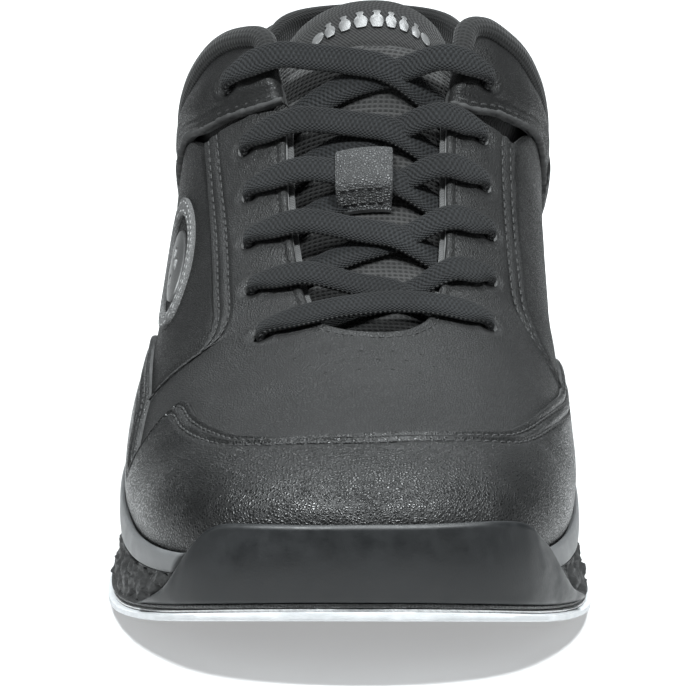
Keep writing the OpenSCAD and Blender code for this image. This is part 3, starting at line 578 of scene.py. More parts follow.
def cloth(name, dark, light, yarn_gap, height, kind="plain", along=None, uv=True, fuzz=0.1, rough=0.85, level=0.25,
          selvage=0.0):
    """Woven cloth, as plain weave, twill lines or an open mesh, with lint and uneven yarn.

    Lengths are in metres: yarn_gap across the cloth, along it if that differs, and the selvage's place across it.
    """
    m = Nodes(name)
    u, v = m.weave(yarn_gap, along or yarn_gap, uv)
    if kind == "twill":
        rib = m.sine(m.times(m.math("SUBTRACT", u, v), 0.5))
        top = m.plus(m.times(m.sine(m.plus(u, v)), 0.7), m.times(rib, 0.3))
    elif kind == "mesh":
        a, b = (m.math("ABSOLUTE", m.sine(m.times(w, 0.5))) for w in (u, v))
        top = m.math("SUBTRACT", 1.0, m.times(m.times(a, b), 2.0))
    else:
        top = m.times(m.sine(u), m.sine(v))
    flat = m.remap(top, 0.0, 1.0, -1.0, 1.0)
    yarn = m.noise(2600, 3, 0.7)
    first = m.bump(m.plus(flat, m.times(yarn, 0.45)), height)
    normal_out = m.bump(m.noise(700, 6, 0.8), 0.0002, 0.25, first)
    tone = m.blend(m.remap(m.half_each(m.noise(40, 4, 0.6), yarn), 0, 1, 0.3, 0.75), dark, light)
    # Darker where the weave lies low, between the yarns and in the mesh's openings: painted shade.
    colour = m.blend(m.remap(flat, 0.85, 0.0, 0.1, 0.8), tone, grey(dark[0] * 0.2))
    if selvage:
        turn, rim = TURN / yarn_gap, 0.0011              # beads along both edges, as wide as the rim
        edges = m.plus(m.remap(v, 1.0, 0.0, 0.0, rim * turn),
                       m.remap(v, 0.0, 1.0, (selvage - rim) * turn, selvage * turn))
        bead = m.times(edges, m.remap(m.sine(u), 0.0, 1.0, -0.4, 0.9))
        colour = m.blend(m.times(bead, 0.75), colour, grey(light[0] * 5))
    return m.done(colour, rough, normal_out, Specular_IOR_Level=level, Sheen_Weight=fuzz, Sheen_Roughness=0.5)


def rubber(name, dark, light, rough, pit, scale, patch=30):
    m = Nodes(name)
    smear = m.noise(patch * 6, 3, 0.6)
    colour = m.blend(m.remap(m.times(m.noise(patch, 4, 0.6), smear), 0, 1, 0.12, 0.42), dark, light)
    roughness = m.remap(smear, rough - 0.08, rough + 0.12, 0.3, 0.7)
    return m.done(colour, roughness, m.bump(m.noise(scale, 4, 0.65), pit), Specular_IOR_Level=0.36)


def rock(name, dark, light):
    """Moulded rubber with a rough, chipped texture."""
    m = Nodes(name)
    small = m.noise(900, 8, 0.75)
    height = m.plus(m.cells(420), m.times(small, 0.8))
    # Lighter on the raised parts and darker in the hollows: painted shade.
    colour = m.blend(m.remap(height, 0, 1, 0.4, 1.2), dark, light)
    return m.done(colour, m.remap(small, 0.45, 0.75), m.bump(height, 0.00035), Specular_IOR_Level=0.5)


def thread(name, colour, rough=0.45):
    """Twisted sewing thread."""
    m = Nodes(name)
    twist = m.put(m.add("TexWave", wave_type="BANDS", bands_direction="DIAGONAL"),
                  Vector=m.where, Scale=900.0, Distortion=1.5, Detail=1.0).outputs["Fac"]
    tone = m.blend(m.times(twist, 0.6), colour, grey(colour[0] * 0.4))
    return m.done(tone, m.remap(m.noise(1800, 3), rough - 0.1, rough + 0.2), m.bump(twist, 0.00008),
                  Specular_IOR_Level=0.3)


def tape(name, dark, light, scale, randomness):
    """Hook or loop tape: little loops, in rows or at random."""
    m = Nodes(name)
    tufts = m.cells(scale, randomness=randomness)
    height = m.math("SUBTRACT", m.times(m.noise(2400, 4, 0.8), 0.7), tufts)
    # Lighter on the loops and darker between them, where they lie low: painted shade.
    return m.done(m.blend(tufts, light, dark), 0.8, m.bump(height, 0.0004), Sheen_Weight=0.4)


def plastic(name, colour, rough):
    m = Nodes(name)
    scratch = m.noise(500, 5, 0.7)
    tone = m.blend(m.remap(m.noise(60, 3), 0, 1, 0.3, 0.7), colour, tuple(min(1, c * 1.5) for c in colour))
    return m.done(tone, m.remap(scratch, rough - 0.08, rough + 0.12), m.bump(scratch, 0.00002),
                  Coat_Weight=0.2, Coat_Roughness=0.2)


def print_film(name, low, high):
    """A silver transfer print with a fine screen and a soft sheen."""
    m = Nodes(name)
    grain, cloud = m.noise(2600, 3, 0.7), m.noise(120, 4)
    tone = m.blend(m.remap(m.half_each(grain, cloud), 0, 1, 0.3, 0.7), low, high)
    return m.done(tone, m.remap(cloud, 0.3, 0.5), m.bump(grain, 0.00005), Metallic=0.35)


MAT = {
    "toe": leather("toe leather", grey(0.003), grey(0.006), 0.16, 0.00013, 1350),
    "vamp": leather("vamp leather", grey(0.006), grey(0.012), 0.33, 0.00013, 1450),
    "quarter": leather("quarter leather", grey(0.004), grey(0.008), 0.38, 0.0002, 1600, 0.2),
    "wing": leather("wing leather", grey(0.004), grey(0.008), 0.32, 0.00011, 1450, 0.24),
    "ring": leather("ring leather", grey(0.075), grey(0.105), 0.45, 0.00014, 1500),
    "keeper": leather("keeper leather", grey(0.035, -0.02), grey(0.07, -0.02), 0.36, 0.0005, 1500, 0.5),
    "cut": raw_edge("cut leather edge", 0.24),
    "dark_cut": raw_edge("dark cut edge", 0.045),
    "lining": cloth("lining cloth", grey(0.004), grey(0.010), 0.001, 0.00015, "mesh"),
    "tongue": cloth("tongue cloth", grey(0.006, 0.01), grey(0.016, 0.01), 0.001, 0.0002, "twill"),
    "tongue_mesh": cloth("tongue mesh", grey(0.008, 0.01), grey(0.035, 0.01), 0.0014, 0.0004, "mesh"),
    "lace": cloth("lace cloth", grey(0.003, -0.08), grey(0.02, -0.08), 0.0009, 0.00045, along=0.0012, fuzz=0.03,
                  rough=0.75, level=0.15, selvage=0.007),
    "sock": cloth("sock cloth", grey(0.04), grey(0.07), 0.0012, 0.00015, fuzz=0.4, uv=False),
    "stiff": cloth("stiffener", (0.45, 0.42, 0.34), (0.6, 0.56, 0.46), 0.0008, 0.00008, uv=False),
    "backing": cloth("backing tape", grey(0.05), grey(0.09), 0.0007, 0.00008, uv=False, fuzz=0.2),
    "board": cloth("lasting board", grey(0.03), grey(0.06), 0.002, 0.00005, uv=False),
    "steel": plastic("shank steel", grey(0.45), 0.3),
    # The dark centre of the air holes: painted shade where the holes would be.
    "pit": raw_edge("painted air hole shade", 0.003),
    "fray": raw_edge("frayed leather edge", 0.035),
    "thread": thread("dark thread", grey(0.026), 0.5),
    "pale_thread": thread("pale thread", grey(0.34)),
    "guard": rubber("guard rubber", grey(0.005, -0.1), grey(0.009, -0.1), 0.42, 0.00003, 1800),
    "rim": rubber("rim rubber", grey(0.085, -0.02), grey(0.12, -0.02), 0.55, 0.00005, 1300),
    "wall": rock("textured rubber", grey(0.004), grey(0.014)),
    "slide": rubber("slide fibre", (0.42, 0.43, 0.44), (0.56, 0.57, 0.58), 0.8, 0.0001, 1500),
    "heel": rubber("pale heel rubber", (0.42, 0.43, 0.44), (0.54, 0.55, 0.56), 0.6, 0.0001, 1100),
    "hook": tape("hook tape", grey(0.012), grey(0.03), 1300, 0.35),
    "loop": tape("loop tape", grey(0.45), grey(0.62), 900, 1.0),
    "aglet": plastic("aglet plastic", grey(0.012), 0.28),
    "silver": print_film("silver print", grey(0.07), grey(0.13)),
    "ball": print_film("grey print", grey(0.04), grey(0.08)),
}
# CAD parts that keep their shape.
PLAIN = {"toe_puff": "stiff", "heel_counter": "stiff", "eyestay_backing_lateral": "backing",
         "eyestay_backing_medial": "backing", "strobel_board": "board", "shank": "steel"}
for node, key in PLAIN.items():
    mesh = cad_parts[node].data
    mesh.materials.clear()
    mesh.materials.append(MAT[key])


# ---- camera, lights and floor ----
def look(obj, eye, target):
    way = (Vector(target) - Vector(eye)).normalized()
    obj.matrix_world = Matrix.Translation(Vector(eye)) @ way.to_track_quat("-Z", "Y").to_matrix().to_4x4()


AZ, EL, REACH = math.radians(0.4), math.radians(15), 2.5
TARGET = Vector((0.755, -HALF, 84.26)) * MM
lens = bpy.data.cameras.new("camera")
lens.lens, lens.sensor_width = 546.4, 36
camera = link("camera", lens)
AIM = Vector((math.sin(AZ) * math.cos(EL), -math.cos(AZ) * math.cos(EL), math.sin(EL)))
look(camera, TARGET + REACH * AIM, TARGET)
bpy.context.scene.camera = camera

LAMPS = {                                                # eye and target in metres, size, power
    "box_left": ((-0.44, -0.52, 1.4), (0, -0.14, 0.04), 0.22, 34),
    "box_right": ((0.44, -0.52, 1.4), (0, -0.14, 0.04), 0.22, 34),
    "box_top": ((0.1, 0.3, 1.35), (0, -0.14, 0.06), 0.42, 16),
    "side_left": ((-1.5, -0.5, 0.7), (0, 0, 0.06), 0.7, 2.5),
    "side_right": ((1.5, -0.5, 0.7), (0, 0, 0.06), 0.7, 2.5),
    "top": ((0, 0.35, 1.5), (0, 0, 0), 1.2, 4),
    "behind": ((0, 1.6, 0.9), (0, 0, 0.08), 1.2, 4),
}
for name, (eye, target, size, power) in LAMPS.items():
    lamp = bpy.data.lights.new(name, "AREA")
    lamp.shape, lamp.size, lamp.size_y, lamp.energy = "RECTANGLE", size, size, power
    lamp.color = (0.94, 0.985, 1)
    look(link(name, lamp), eye, target)

world = bpy.data.worlds.new("studio")
world.use_nodes = True
sky = world.node_tree.nodes["Background"].inputs
sky["Color"].default_value = (0.9, 0.97, 1, 1)
sky["Strength"].default_value = 0.16
bpy.context.scene.world = world
bpy.context.scene.view_settings.view_transform = "Standard"

ground = Nodes("floor")
ground.put(ground.shader, Base_Color=ground.blend(ground.noise(3, 2), grey(0.48), grey(0.5)), Roughness=0.9,
           Specular_IOR_Level=0.1, Emission_Color=(1, 1, 1, 1), Emission_Strength=0.3)
FLOOR = 8.0                                              # half of its width, in metres
floor_mesh = bpy.data.meshes.new("floor")
corners = ((-FLOOR, -FLOOR, 0), (FLOOR, -FLOOR, 0), (FLOOR, FLOOR, 0), (-FLOOR, FLOOR, 0))
floor_mesh.from_pydata(corners, [], [(0, 1, 2, 3)])
floor_mesh.materials.append(ground.material)
floor = link("floor", floor_mesh)


# ---- the lace's free ends ----
def at_home(points):
    """From [x, back, z] of the part's source to the row frame."""
    return np.asarray(points, float) + np.array([X_SHIFT, -HALF, 0])


TAILS = {
    "lateral": [
        [-29.5, 179.5, 101], [-27.9, 180.6, 99.7], [-26.6, 182.5, 98], [-26, 185.5, 95.5], [-26.5, 188.5, 91.5],
        [-28, 191, 86], [-30, 192.5, 78], [-31.5, 193, 68], [-32, 192, 58], [-31.5, 189, 49], [-30.5, 183, 42.5],
        [-29, 174, 37.5], [-27.5, 163, 34.9], [-26.5, 151, 33.8], [-26, 139, 33.3], [-26, 130, 33]
    ],
    "medial": [
        [25.4, 175.6, 103.4], [25.8, 176.8, 102.5], [26.8, 178.8, 101], [28, 181.8, 98], [28.5, 184.8, 94],
        [28.8, 187.3, 88.5], [28.8, 189, 80], [28.3, 189.5, 70], [29.2, 188.8, 60], [29.2, 186, 50.5],
        [28.4, 180, 43.8], [27, 171, 38.4], [25.8, 160, 35.2], [25, 148, 34], [24.5, 136, 33.3], [24.5, 127, 33.1]
    ],
}
TAIL_WIDTH, TAIL_POINTS = 3.2, 76
AGLET = [
    (0, 0.2), (0, 1.55), (0.3, 1.7), (0.9, 1.7), (1.2, 1.6), (4.0, 1.58), (4.4, 1.42), (5.0, 1.42), (5.4, 1.58),
    (13, 1.55), (13.4, 1.4), (14, 1.4), (14.4, 1.53), (19, 1.45), (19.7, 1.2), (20, 0.7), (20, 0.1)
]
AGLET_SIDES = 24


def aglet(name, start, way, node):
    """A crimped tip: a sleeve with a rolled lip, two pinched rings and a rounded end."""
    way = unit(np.asarray(way))
    side = unit(np.cross(way, [0, 0, 1.0]))
    up = np.cross(side, way)
    rings = np.array([start + x * way + r * (math.cos(a) * side + math.sin(a) * up)
                      for x, r in AGLET for a in angles(AGLET_SIDES)])
    quads = ring_quads(len(AGLET), AGLET_SIDES)
    ends = [list(range(AGLET_SIDES - 1, -1, -1)), list(range(len(rings) - AGLET_SIDES, len(rings)))]
    return piece(name, rings, [*quads, *ends], slot="aglet_plastic", nodes=[node], look="aglet", sharp=50)


for side, route in TAILS.items():
    line = at_home(smooth_path(route, TAIL_POINTS))
    tip = aglet("aglet_tip_" + side, line[-1], line[-1] - line[-2], "aglet_" + side)
    wide_way = np.tile([1, 0.1, 0.1], (len(line), 1))
    cord = tube("lace_end_" + side, line, wide_way, TAIL_WIDTH, TAIL_WIDTH * 0.96, sides=8, power=1.0,
                slot="lace_fabric", nodes=["lace_tail_" + side], look="lace", sharp=80)


# ---- outlines on the upper, as in the part's source ----
VAMP_EDGE = places([
    [173.5, -0.49], [157, -0.487], [140, -0.47], [122, -0.45], [107, -0.44], [99.5, -0.5], [101, -0.7], [103, -1],
    [75, -1], [50, -1], [25, -1], [10, -1], [5, -0.6], [5, 0], [5, 0.6], [10, 1], [25, 1], [50, 1], [75, 1],
    [110, 1], [111, 0.72], [111.5, 0.59], [118, 0.51], [133, 0.488], [149, 0.472], [168.5, 0.447]
])
THROAT = places([
    [162.5, -0.237], [150, -0.243], [136, -0.237], [122, -0.215], [110, -0.192], [103, -0.174], [99.5, -0.163],
    [96.8, -0.153], [94, -0.134], [91.8, -0.104], [90.2, -0.072], [89.4, -0.045], [89, -0.02], [89, 0], [89, 0.02],
    [89.4, 0.045], [90.2, 0.072], [92, 0.098], [94.2, 0.123], [97.2, 0.142], [100.5, 0.157], [105, 0.171],
    [112, 0.18], [124, 0.195], [140, 0.2], [160, 0.2]
])
TOE_SEAM = places([
    [168, -0.93], [150, -0.8], [125, -0.73], [104, -0.7], [92, -0.745], [79, -0.8], [78, -0.66], [80, -0.53],
    [68, -0.485], [56, -0.43], [43, -0.353], [37, -0.26], [35, -0.193], [34, -0.1], [34, 0], [35.5, 0.1],
    [38, 0.203], [43, 0.3], [51, 0.4], [62, 0.47], [74, 0.532], [90, 0.62], [105, 0.703], [122, 0.75], [145, 0.83],
    [160, 0.93]
])
TOE_FOOT = places([
    [170, -1], [150, -1], [125, -1], [105, -1], [92, -1], [80, -1], [72, -1], [65, -1], [55, -1], [42, -1],
    [28, -1], [15, -1], [8, -1], [5, -0.6], [5, 0], [5, 0.6], [8, 1], [16, 1], [30, 1], [48, 1], [65, 1], [85, 1],
    [102, 1], [120, 1], [143, 1], [162, 1]
])
QUARTER_FRONT = {
    -1: places([[105, -1], [103.5, -0.7], [102.5, -0.5], [110, -0.446], [125, -0.458], [143, -0.478], [160, -0.494],
                [176, -0.5]]),
    1: places([[112, 1], [113.5, 0.72], [114.5, 0.59], [121, 0.515], [136, 0.495], [152, 0.48], [171, 0.455]]),
}
COLLAR = [[220, 77.5], [228, 74.5], [242, 76], [256, 83], [270, 91.5], [282, 97.5], [298, 98.5]]
SHOULDER = [[199, 104.5], [205, 95.5], [211, 86], [215.5, 81]]
WING_TAIL = [[190, 88], [198, 80], [205, 73.5]]
WING_LOW = {-1: traced([[164.5, -0.237], [166.5, -0.305], [170.5, -0.382], [178, -0.49]], WING_TAIL, -1),
            1: traced([[162, 0.2], [164.5, 0.28], [169.5, 0.36], [177, 0.463]], WING_TAIL, 1)}
WING_HEAD = SHOULDER[:3] + [[213, 83.5]]
WING_TOP = {-1: traced([[182, -0.262], [187, -0.32], [192.5, -0.39]], WING_HEAD, -1),
            1: traced([[183, 0.235], [188, 0.3], [191.5, 0.37]], WING_HEAD, 1)}
TUCKED = [[198, 82.5], [205, 77], [210.5, 78.5], [215.5, 80.5]] + COLLAR     # runs on under the wing's tail
QUARTER_TOP = {-1: traced([[187, -0.57]], TUCKED, -1), 1: traced([[185, 0.545]], TUCKED, 1)}
HOLES = {-1: [[95, -0.292], [114, -0.323], [131, -0.345], [146, -0.352], [160, -0.358], [177, -0.375]],
         1: [[102, 0.338], [119, 0.347], [134.5, 0.355], [148, 0.335], [160.5, 0.32], [173, 0.31]]}
VAMP_HOLES = HOLES[-1][:5] + HOLES[1][:5]
EYELET = 2.3
SIDE_NAME = {-1: "lateral", 1: "medial"}
INNER, OUTER = -1.0, 0.4                                 # depths of the base layer
OVER_IN, OVER_OUT = 0.9, 2.02                            # depths of what lies on it
SEAM_ROWS = (2.1, 4.9)                                   # distances of a double seam from its edge


def pucker(sheet, holes):
    """The leather is drawn in at each lace hole and stands up a little round it."""
    d = np.zeros(sheet.skin.shape[:2])
    for back, t in holes:
        r = np.linalg.norm(sheet.skin - place(station(back), t, 0.0), axis=-1)
        d += 0.28 * bell(r - 4.0, 1.3) - 0.75 * bell(r, 2.9)
    return d


def wrinkles(points, scale, size, seed=0.0):
    """Soft uneven hollows, the same each run."""
    flat = points.reshape(-1, 3)
    out = np.array([noise.noise(Vector((p[0] / scale, p[1] / scale, p[2] / scale + seed))) for p in flat])
    return size * out.reshape(points.shape[:2])


def double(gap, *sizes, rows=SEAM_ROWS):
    """The grooves of a double seam."""
    return groove(gap, rows[0], *sizes) + groove(gap, rows[1], *sizes)


# ---- vamp ----
VAMP_SEAMS, THROAT_SEAM = (1.8, 4.8), 2.6                # distances from the vamp's lower and upper edge
LIP, LIP_WIDTH, ARMS_FROM = 0.75, 7, 96                  # the arms' lower edge stands up a little
sheet = Sheet(strip(VAMP_EDGE, THROAT, 76, 460, lambda v: 1 - (1 - v)**1.25))
vamp = sheet
low, high = sheet.edge["low"], sheet.edge["high"]
lip = LIP * bell(low, LIP_WIDTH) * smooth((sheet.skin[..., 1] + HALF - ARMS_FROM) / 6)
outer = (OUTER + lip + double(low, 0.4, 0.8, rows=VAMP_SEAMS) - rounded(low, 0.6) - rounded(high, 0.7)
         + groove(high, THROAT_SEAM, 0.18) + 0.2 * bell(high - 1.2, 0.8) + pucker(sheet, VAMP_HOLES)
         + wrinkles(sheet.skin, 17, 0.3) + wrinkles(sheet.skin, 7, 0.12, 5))
top, under = sheet.at(outer), sheet.at(INNER)
keep = punched(sheet, top, under, VAMP_HOLES, EYELET)
leather_sheet("vamp", top, under, "vamp cut", "vamp_leather", keep=keep)
for distance in VAMP_SEAMS:
    path = sheet.line("low", distance)
    back = on(path, 0.0)[:, 1] + HALF
    for side in SIDE_NAME:
        part = path[(np.sign(path[:, 1]) == side) & (back > ARMS_FROM + 1) & (np.abs(path[:, 1]) < 0.93)]
        stitches("seam_stitches", part, OUTER + 0.55 * math.exp(-(distance / LIP_WIDTH)**2))
stitches("throat_stitches", sheet.line("high", THROAT_SEAM), OUTER - 0.05, 2.3, 1.7, 0.2)

# Air holes in three short rows in front of the tongue: a low raised rim round a shallow pit. Its dark centre is
# painted shade where a hole would be, not a real opening.
AIR_HOLES = [(80.5 - 4.6 * row, 0.078 * (k - 2.5 + 0.5 * row)) for row in range(3) for k in range(6 - row)]
PIT = ((0.66, -0.02), (0.5, 0.13), (0.38, 0.1), (0.3, 0.05))    # radius and height of each ring
PIT_SIDES = 12
HOLE_SHADE_SLOTS = [0] * 2 * PIT_SIDES + [1] * (PIT_SIDES + 1)          # leather, and dark from the third ring inwards: painted shade of the hole
verts, faces = [], []
for back, t in AIR_HOLES:
    gap = np.linalg.norm(vamp.skin - place(station(back), t, 0.0), axis=-1)
    at = np.unravel_index(np.argmin(gap), gap.shape)
    up = vamp.out[at]
    side = unit(np.cross(up, [0, 1.0, 0]))
    ahead = np.cross(side, up)
    base = len(verts)
    for r, h in PIT:
        for a in TURN * np.arange(PIT_SIDES) / PIT_SIDES:
            verts.append(top[at] + h * up + r * (math.cos(a) * side + math.sin(a) * ahead))
    faces += [tuple(q) for q in base + ring_quads(len(PIT), PIT_SIDES)[:, [1, 0, 3, 2]]]
    faces.append(tuple(range(len(verts) - 1, len(verts) - PIT_SIDES - 1, -1)))
piece("air_holes", verts, faces, slot="vamp_leather", look="vamp pit",
      face_slots=HOLE_SHADE_SLOTS * len(AIR_HOLES), sharp=80)

# ---- vamp lining ----
sheet = Sheet(strip(VAMP_EDGE, THROAT, 40, 230))
LINING_OUT, LINING_IN = -2.8, -3.6
top, under = sheet.at(LINING_OUT), sheet.at(LINING_IN)
keep = punched(sheet, top, under, VAMP_HOLES, EYELET + 0.2)
sheet_mesh("vamp_lining_cloth", top, under, keep=keep, slot="vamp_lining_fabric", nodes=["vamp_lining"],
           look="lining")

# ---- toe overlay ----
sheet = Sheet(strip(TOE_FOOT, TOE_SEAM, 44, 420, lambda v: 1 - (1 - v)**1.3))
high = sheet.edge["high"]
outer = (OVER_OUT - 0.9 * rounded(high, 1.0) - 0.9 * rounded(sheet.ends, 1.0) + double(high, 0.55, 0.8)
         + 0.2 * bell(high - 3.5, 0.7) + wrinkles(sheet.skin, 22, 0.25, 9))
leather_sheet("toe_overlay", sheet.at(outer), sheet.at(OVER_IN - 0.45), "toe dark_cut")
for distance in SEAM_ROWS:
    stitches("toe_stitches", sheet.line("high", distance, 3, 3), OVER_OUT - 0.3, 2.8, 2.3, 0.38)


# ---- quarters ----
HEEL_MIDDLE = 0.9995                                     # the last station: both quarters end there


def quarter_grid(side, front, collar, rows, cols):
    low_edge = np.array([[mix(front[0][0], HEEL_MIDDLE, u / 6), side] for u in range(7)], float)
    join = front[-1]
    top_edge = np.array([join, mix(join, collar[0], 0.5), *collar])
    top_edge[:, 0] = np.minimum(top_edge[:, 0], HEEL_MIDDLE)
    rear = np.array([mix(low_edge[-1], top_edge[-1], v / 6) for v in range(7)])
    return filled(low_edge, top_edge, front, rear, rows, cols)


for side, name in SIDE_NAME.items():
    front = QUARTER_FRONT[side].copy()                   # a little further under the vamp than its solid
    front[:, 0] -= 0.006
    front[:, 1] *= 0.978
    front[0, 1] = side
    sheet = Sheet(quarter_grid(side, front, QUARTER_TOP[side], 70, 170))
    lead, top_gap = sheet.edge["front"], sheet.edge["high"]
    outer = (OUTER + 0.05 - 0.75 * (1 - smooth((lead - 1.5) / 3.5)) - rounded(top_gap, 0.8)
             + wrinkles(sheet.skin, 24, 0.35, 3 + side) + wrinkles(sheet.skin, 9, 0.1, 8))
    leather_sheet("quarter", sheet.at(outer), sheet.at(INNER), "quarter dark_cut", "quarter_leather", "_" + name)


# ---- padded wings beside the top lace holes ----
WING_SHORT = 8                                           # rows of the grid left to the cloth roll
ROLL_BEND = 26                                           # rows that it runs down the front corner
for side, name in SIDE_NAME.items():
    whole = Sheet(strip(WING_LOW[side], WING_TOP[side], 60, 130))
    sheet = Sheet(whole.st[:-WING_SHORT])
    rows, cols = sheet.st.shape[:2]
    v, u = np.linspace(0, 1, rows)[:, None], np.linspace(0, 1, cols)[None, :]
    low, high, lead = sheet.edge["low"], sheet.edge["high"], sheet.edge["front"]
    puff = 1.2 + 2.2 * np.sin(np.pi * v) * np.sin(np.radians(30 + 120 * u))
    hole = [HOLES[side][5]]
    outer = (puff + groove(low, 4.1, 0.5, 0.9) + groove(low, 2.1, 0.25, 0.4) - rounded(low, 1.0)
             - 1.4 * rounded(high, 2.2) - 1.5 * rounded(lead, 2.6)
             + wrinkles(sheet.skin, 14, 0.5, 2) + wrinkles(sheet.skin, 5, 0.15, 6) + 1.6 * pucker(sheet, hole))
    top, under = sheet.at(outer), sheet.at(INNER + 0.1)
    keep = punched(sheet, top, under, hole, EYELET)
    wing_obj = leather_sheet("collar_wing", top, under, "wing dark_cut", side="_" + name, keep=keep)
    stitches("wing_stitches", sheet.line("low", 2.1, 2), 1.35, 3.2, 2.5, 0.42)
    stitches("wing_stitches", sheet.line("low", 4.4, 4), 0.95, 3.2, 2.2, 0.34)
    # The wing's raw lower edge, turned up and sewn down.
    foot = whole.st[0]
    line = on(foot, 1.0)
    fray = 1 + 0.5 * wrinkles(line[None], 1.3, 1, 13)[0]
    tube("wing_hem_" + name, line, normal(foot[:, 0], foot[:, 1]), 1.8 * fray, 1.6 * fray, sides=12, power=0.9,
         slot="overlay_leather", look="fray", sharp=80)
    # The cloth roll that shows above the leather's top and down its front corner.
    top_row = len(whole.st) - 5
    path = np.concatenate([whole.st[top_row - ROLL_BEND:top_row - 2, 3], whole.st[top_row, 5::2]])
    bend = on(path, 0.6)
    for _ in range(6):
        bend[1:-1] = (bend[:-2] + 2 * bend[1:-1] + bend[2:]) / 4
    swell = np.sin(np.pi * np.linspace(0.08, 0.96, len(bend)))**0.4
    swell = swell * (1 + 0.05 * wrinkles(bend[None], 9, 1, 4)[0])
    roll = tube("wing_roll_" + name, bend, normal(path[:, 0], path[:, 1]), 6.4 * swell, 6.6 * swell, sides=22,
                power=1.0, slot="lining_fabric", look="lining", sharp=80)


# ---- heel: counter overlay and the band along the collar ----
HEEL_IN, HEEL_OUT = 0.9, 2.3


def both(pairs):
    return [heights(pairs, side) for side in SIDE_NAME]


def heel_sheet(low_edges, top_edges, rows, cols):
    """A piece that runs round the heel, from its lower and upper line on each side."""
    return Sheet(round_heel(*(strip(low, top, rows, cols) for low, top in zip(low_edges, top_edges))))


def heel_seam(edge, *sizes):
    for distance in SEAM_ROWS:
        stitches("heel_stitches", sheet.line(edge, distance, 3, 3), *sizes)


foot = np.array([192, 214, 232, 250, 266, 282, 298], float)
sheet = heel_sheet([np.stack([station(foot), np.full(len(foot), side)], -1) for side in SIDE_NAME],
                   both([[196, 40], [214, 46], [232, 50], [250, 54], [266, 60], [282, 68], [298, 71]]), 36, 150)
high = sheet.edge["high"]
outer = (HEEL_OUT - rounded(high, 1.0) * 0.9 - rounded(sheet.ends, 1.2) + double(high, 0.5, 0.8)
         + wrinkles(sheet.skin, 20, 0.25, 4))
leather_sheet("heel_overlay", sheet.at(outer), sheet.at(HEEL_IN - 0.4), "toe dark_cut")
heel_seam("high", HEEL_OUT - 0.3, 2.8, 2.3, 0.38)

sheet = heel_sheet(both([[208, 70], [216, 61.5], [227, 57], [242, 57], [256, 62], [270, 69], [282, 74], [298, 77]]),
                   both([[215, 82.5]] + COLLAR), 34, 150)
low, high = sheet.edge["low"], sheet.edge["high"]
swell_out = 1.3 * np.sin(np.pi * np.clip(high / np.maximum(high + low, 1e-6), 0, 1))
outer = (HEEL_OUT - 0.4 + swell_out - rounded(low, 1.0) - rounded(high, 1.6) - rounded(sheet.ends, 1.2)
         + double(low, 0.35) + wrinkles(sheet.skin, 16, 0.4, 11))
band = leather_sheet("collar_band", sheet.at(outer), sheet.at(HEEL_IN - 0.4), "wing dark_cut")
heel_seam("low", HEEL_OUT - 0.45, 2.7, 2.0, 0.3)

# ---- padded lining, with the roll that shows above the collar ----
PADDING = 6.0
FACE_OUT, FACE_IN = -2.9, -3.8                           # depths of the cloth
LINING_COLS = 150
LINING_FOOT = {-1: [107, 130, 150, 168, 185, 200, 214, 230, 250, 272, 298],
               1: [114, 132, 150, 168, 185, 200, 214, 230, 250, 272, 298]}
LINING_FRONT = {-1: [[107, -1], [106, -0.7], [105, -0.52], [112, -0.462], [127, -0.47], [145, -0.49],
                     [160, -0.506], [173.5, -0.5], [172, -0.38], [167.5, -0.28], [182, -0.28]],
                1: [[114, 1], [116, 0.72], [117, 0.6], [123, 0.53], [138, 0.51], [153, 0.495],
                    [169, 0.465], [168, 0.36], [165, 0.27], [183, 0.255]]}
LINING_TOP = {-1: [[182, -0.28], [190.5, -0.39]], 1: [[183, 0.255], [190.5, 0.38]]}


def lining_half(side, rows):
    backs = np.array(LINING_FOOT[side], float)
    foot = np.stack([station(backs), np.full(len(backs), float(side))], -1)
    top_edge = traced(LINING_TOP[side], SHOULDER + COLLAR, side)
    rear = np.array([mix(foot[-1], top_edge[-1], v / 4) for v in range(5)])
    return filled(foot, top_edge, places(LINING_FRONT[side]), rear, rows, LINING_COLS)


sheet = Sheet(round_heel(*(lining_half(side, 60) for side in SIDE_NAME)))
rows, cols = sheet.st.shape[:2]
v = np.linspace(0, 1, rows)[:, None]
u = (np.minimum(np.arange(cols), cols - 1 - np.arange(cols)) / LINING_COLS)[None, :]
swell = PADDING * smooth(u * 3.2 - 0.5) * np.maximum(0, np.sin(np.pi * (1 - v)**0.7))**1.5 * smooth(v / 0.35)
inner_face = sheet.at(FACE_IN - swell - 0.4 * wrinkles(sheet.skin, 16, 1, 21))
outer_face = sheet.at(FACE_OUT)
# Above the top line the cloth rolls over from the inside to the leather's edge.
HEM = -0.4
rise_way = unit(sheet.skin[-1] - sheet.skin[-5])
roll_h = 1.5 + 2.2 * smooth(u[0] * 3.0) + 0.9 * np.sin(np.pi * np.clip(u[0] * 2.5, 0, 1))
middle, reach = (FACE_IN + HEM) / 2, (HEM - FACE_IN) / 2
roll = [on(sheet.st[-1], middle - reach * math.cos(a)) + rise_way * (roll_h * math.sin(a)**0.8)[:, None]
        for a in np.linspace(0, np.pi, 15)[1:-1]]
face = np.concatenate([inner_face, np.array(roll), on(sheet.st[-1], HEM)[None], on(sheet.st[-4], -1.15)[None]])
count = len(face) - rows
back_rows = [mix(outer_face[-1], on(sheet.st[-1], -1.3), f)
             + rise_way * (roll_h * 0.5 * math.sin(math.pi * f))[:, None] for f in np.linspace(0, 1, count + 1)[1:]]
lining_obj = sheet_mesh("padded_lining", face, np.concatenate([outer_face, np.array(back_rows)]),
                        slot="lining_fabric", nodes=["quarter_lining", "collar_foam"], look="lining", sharp=75)

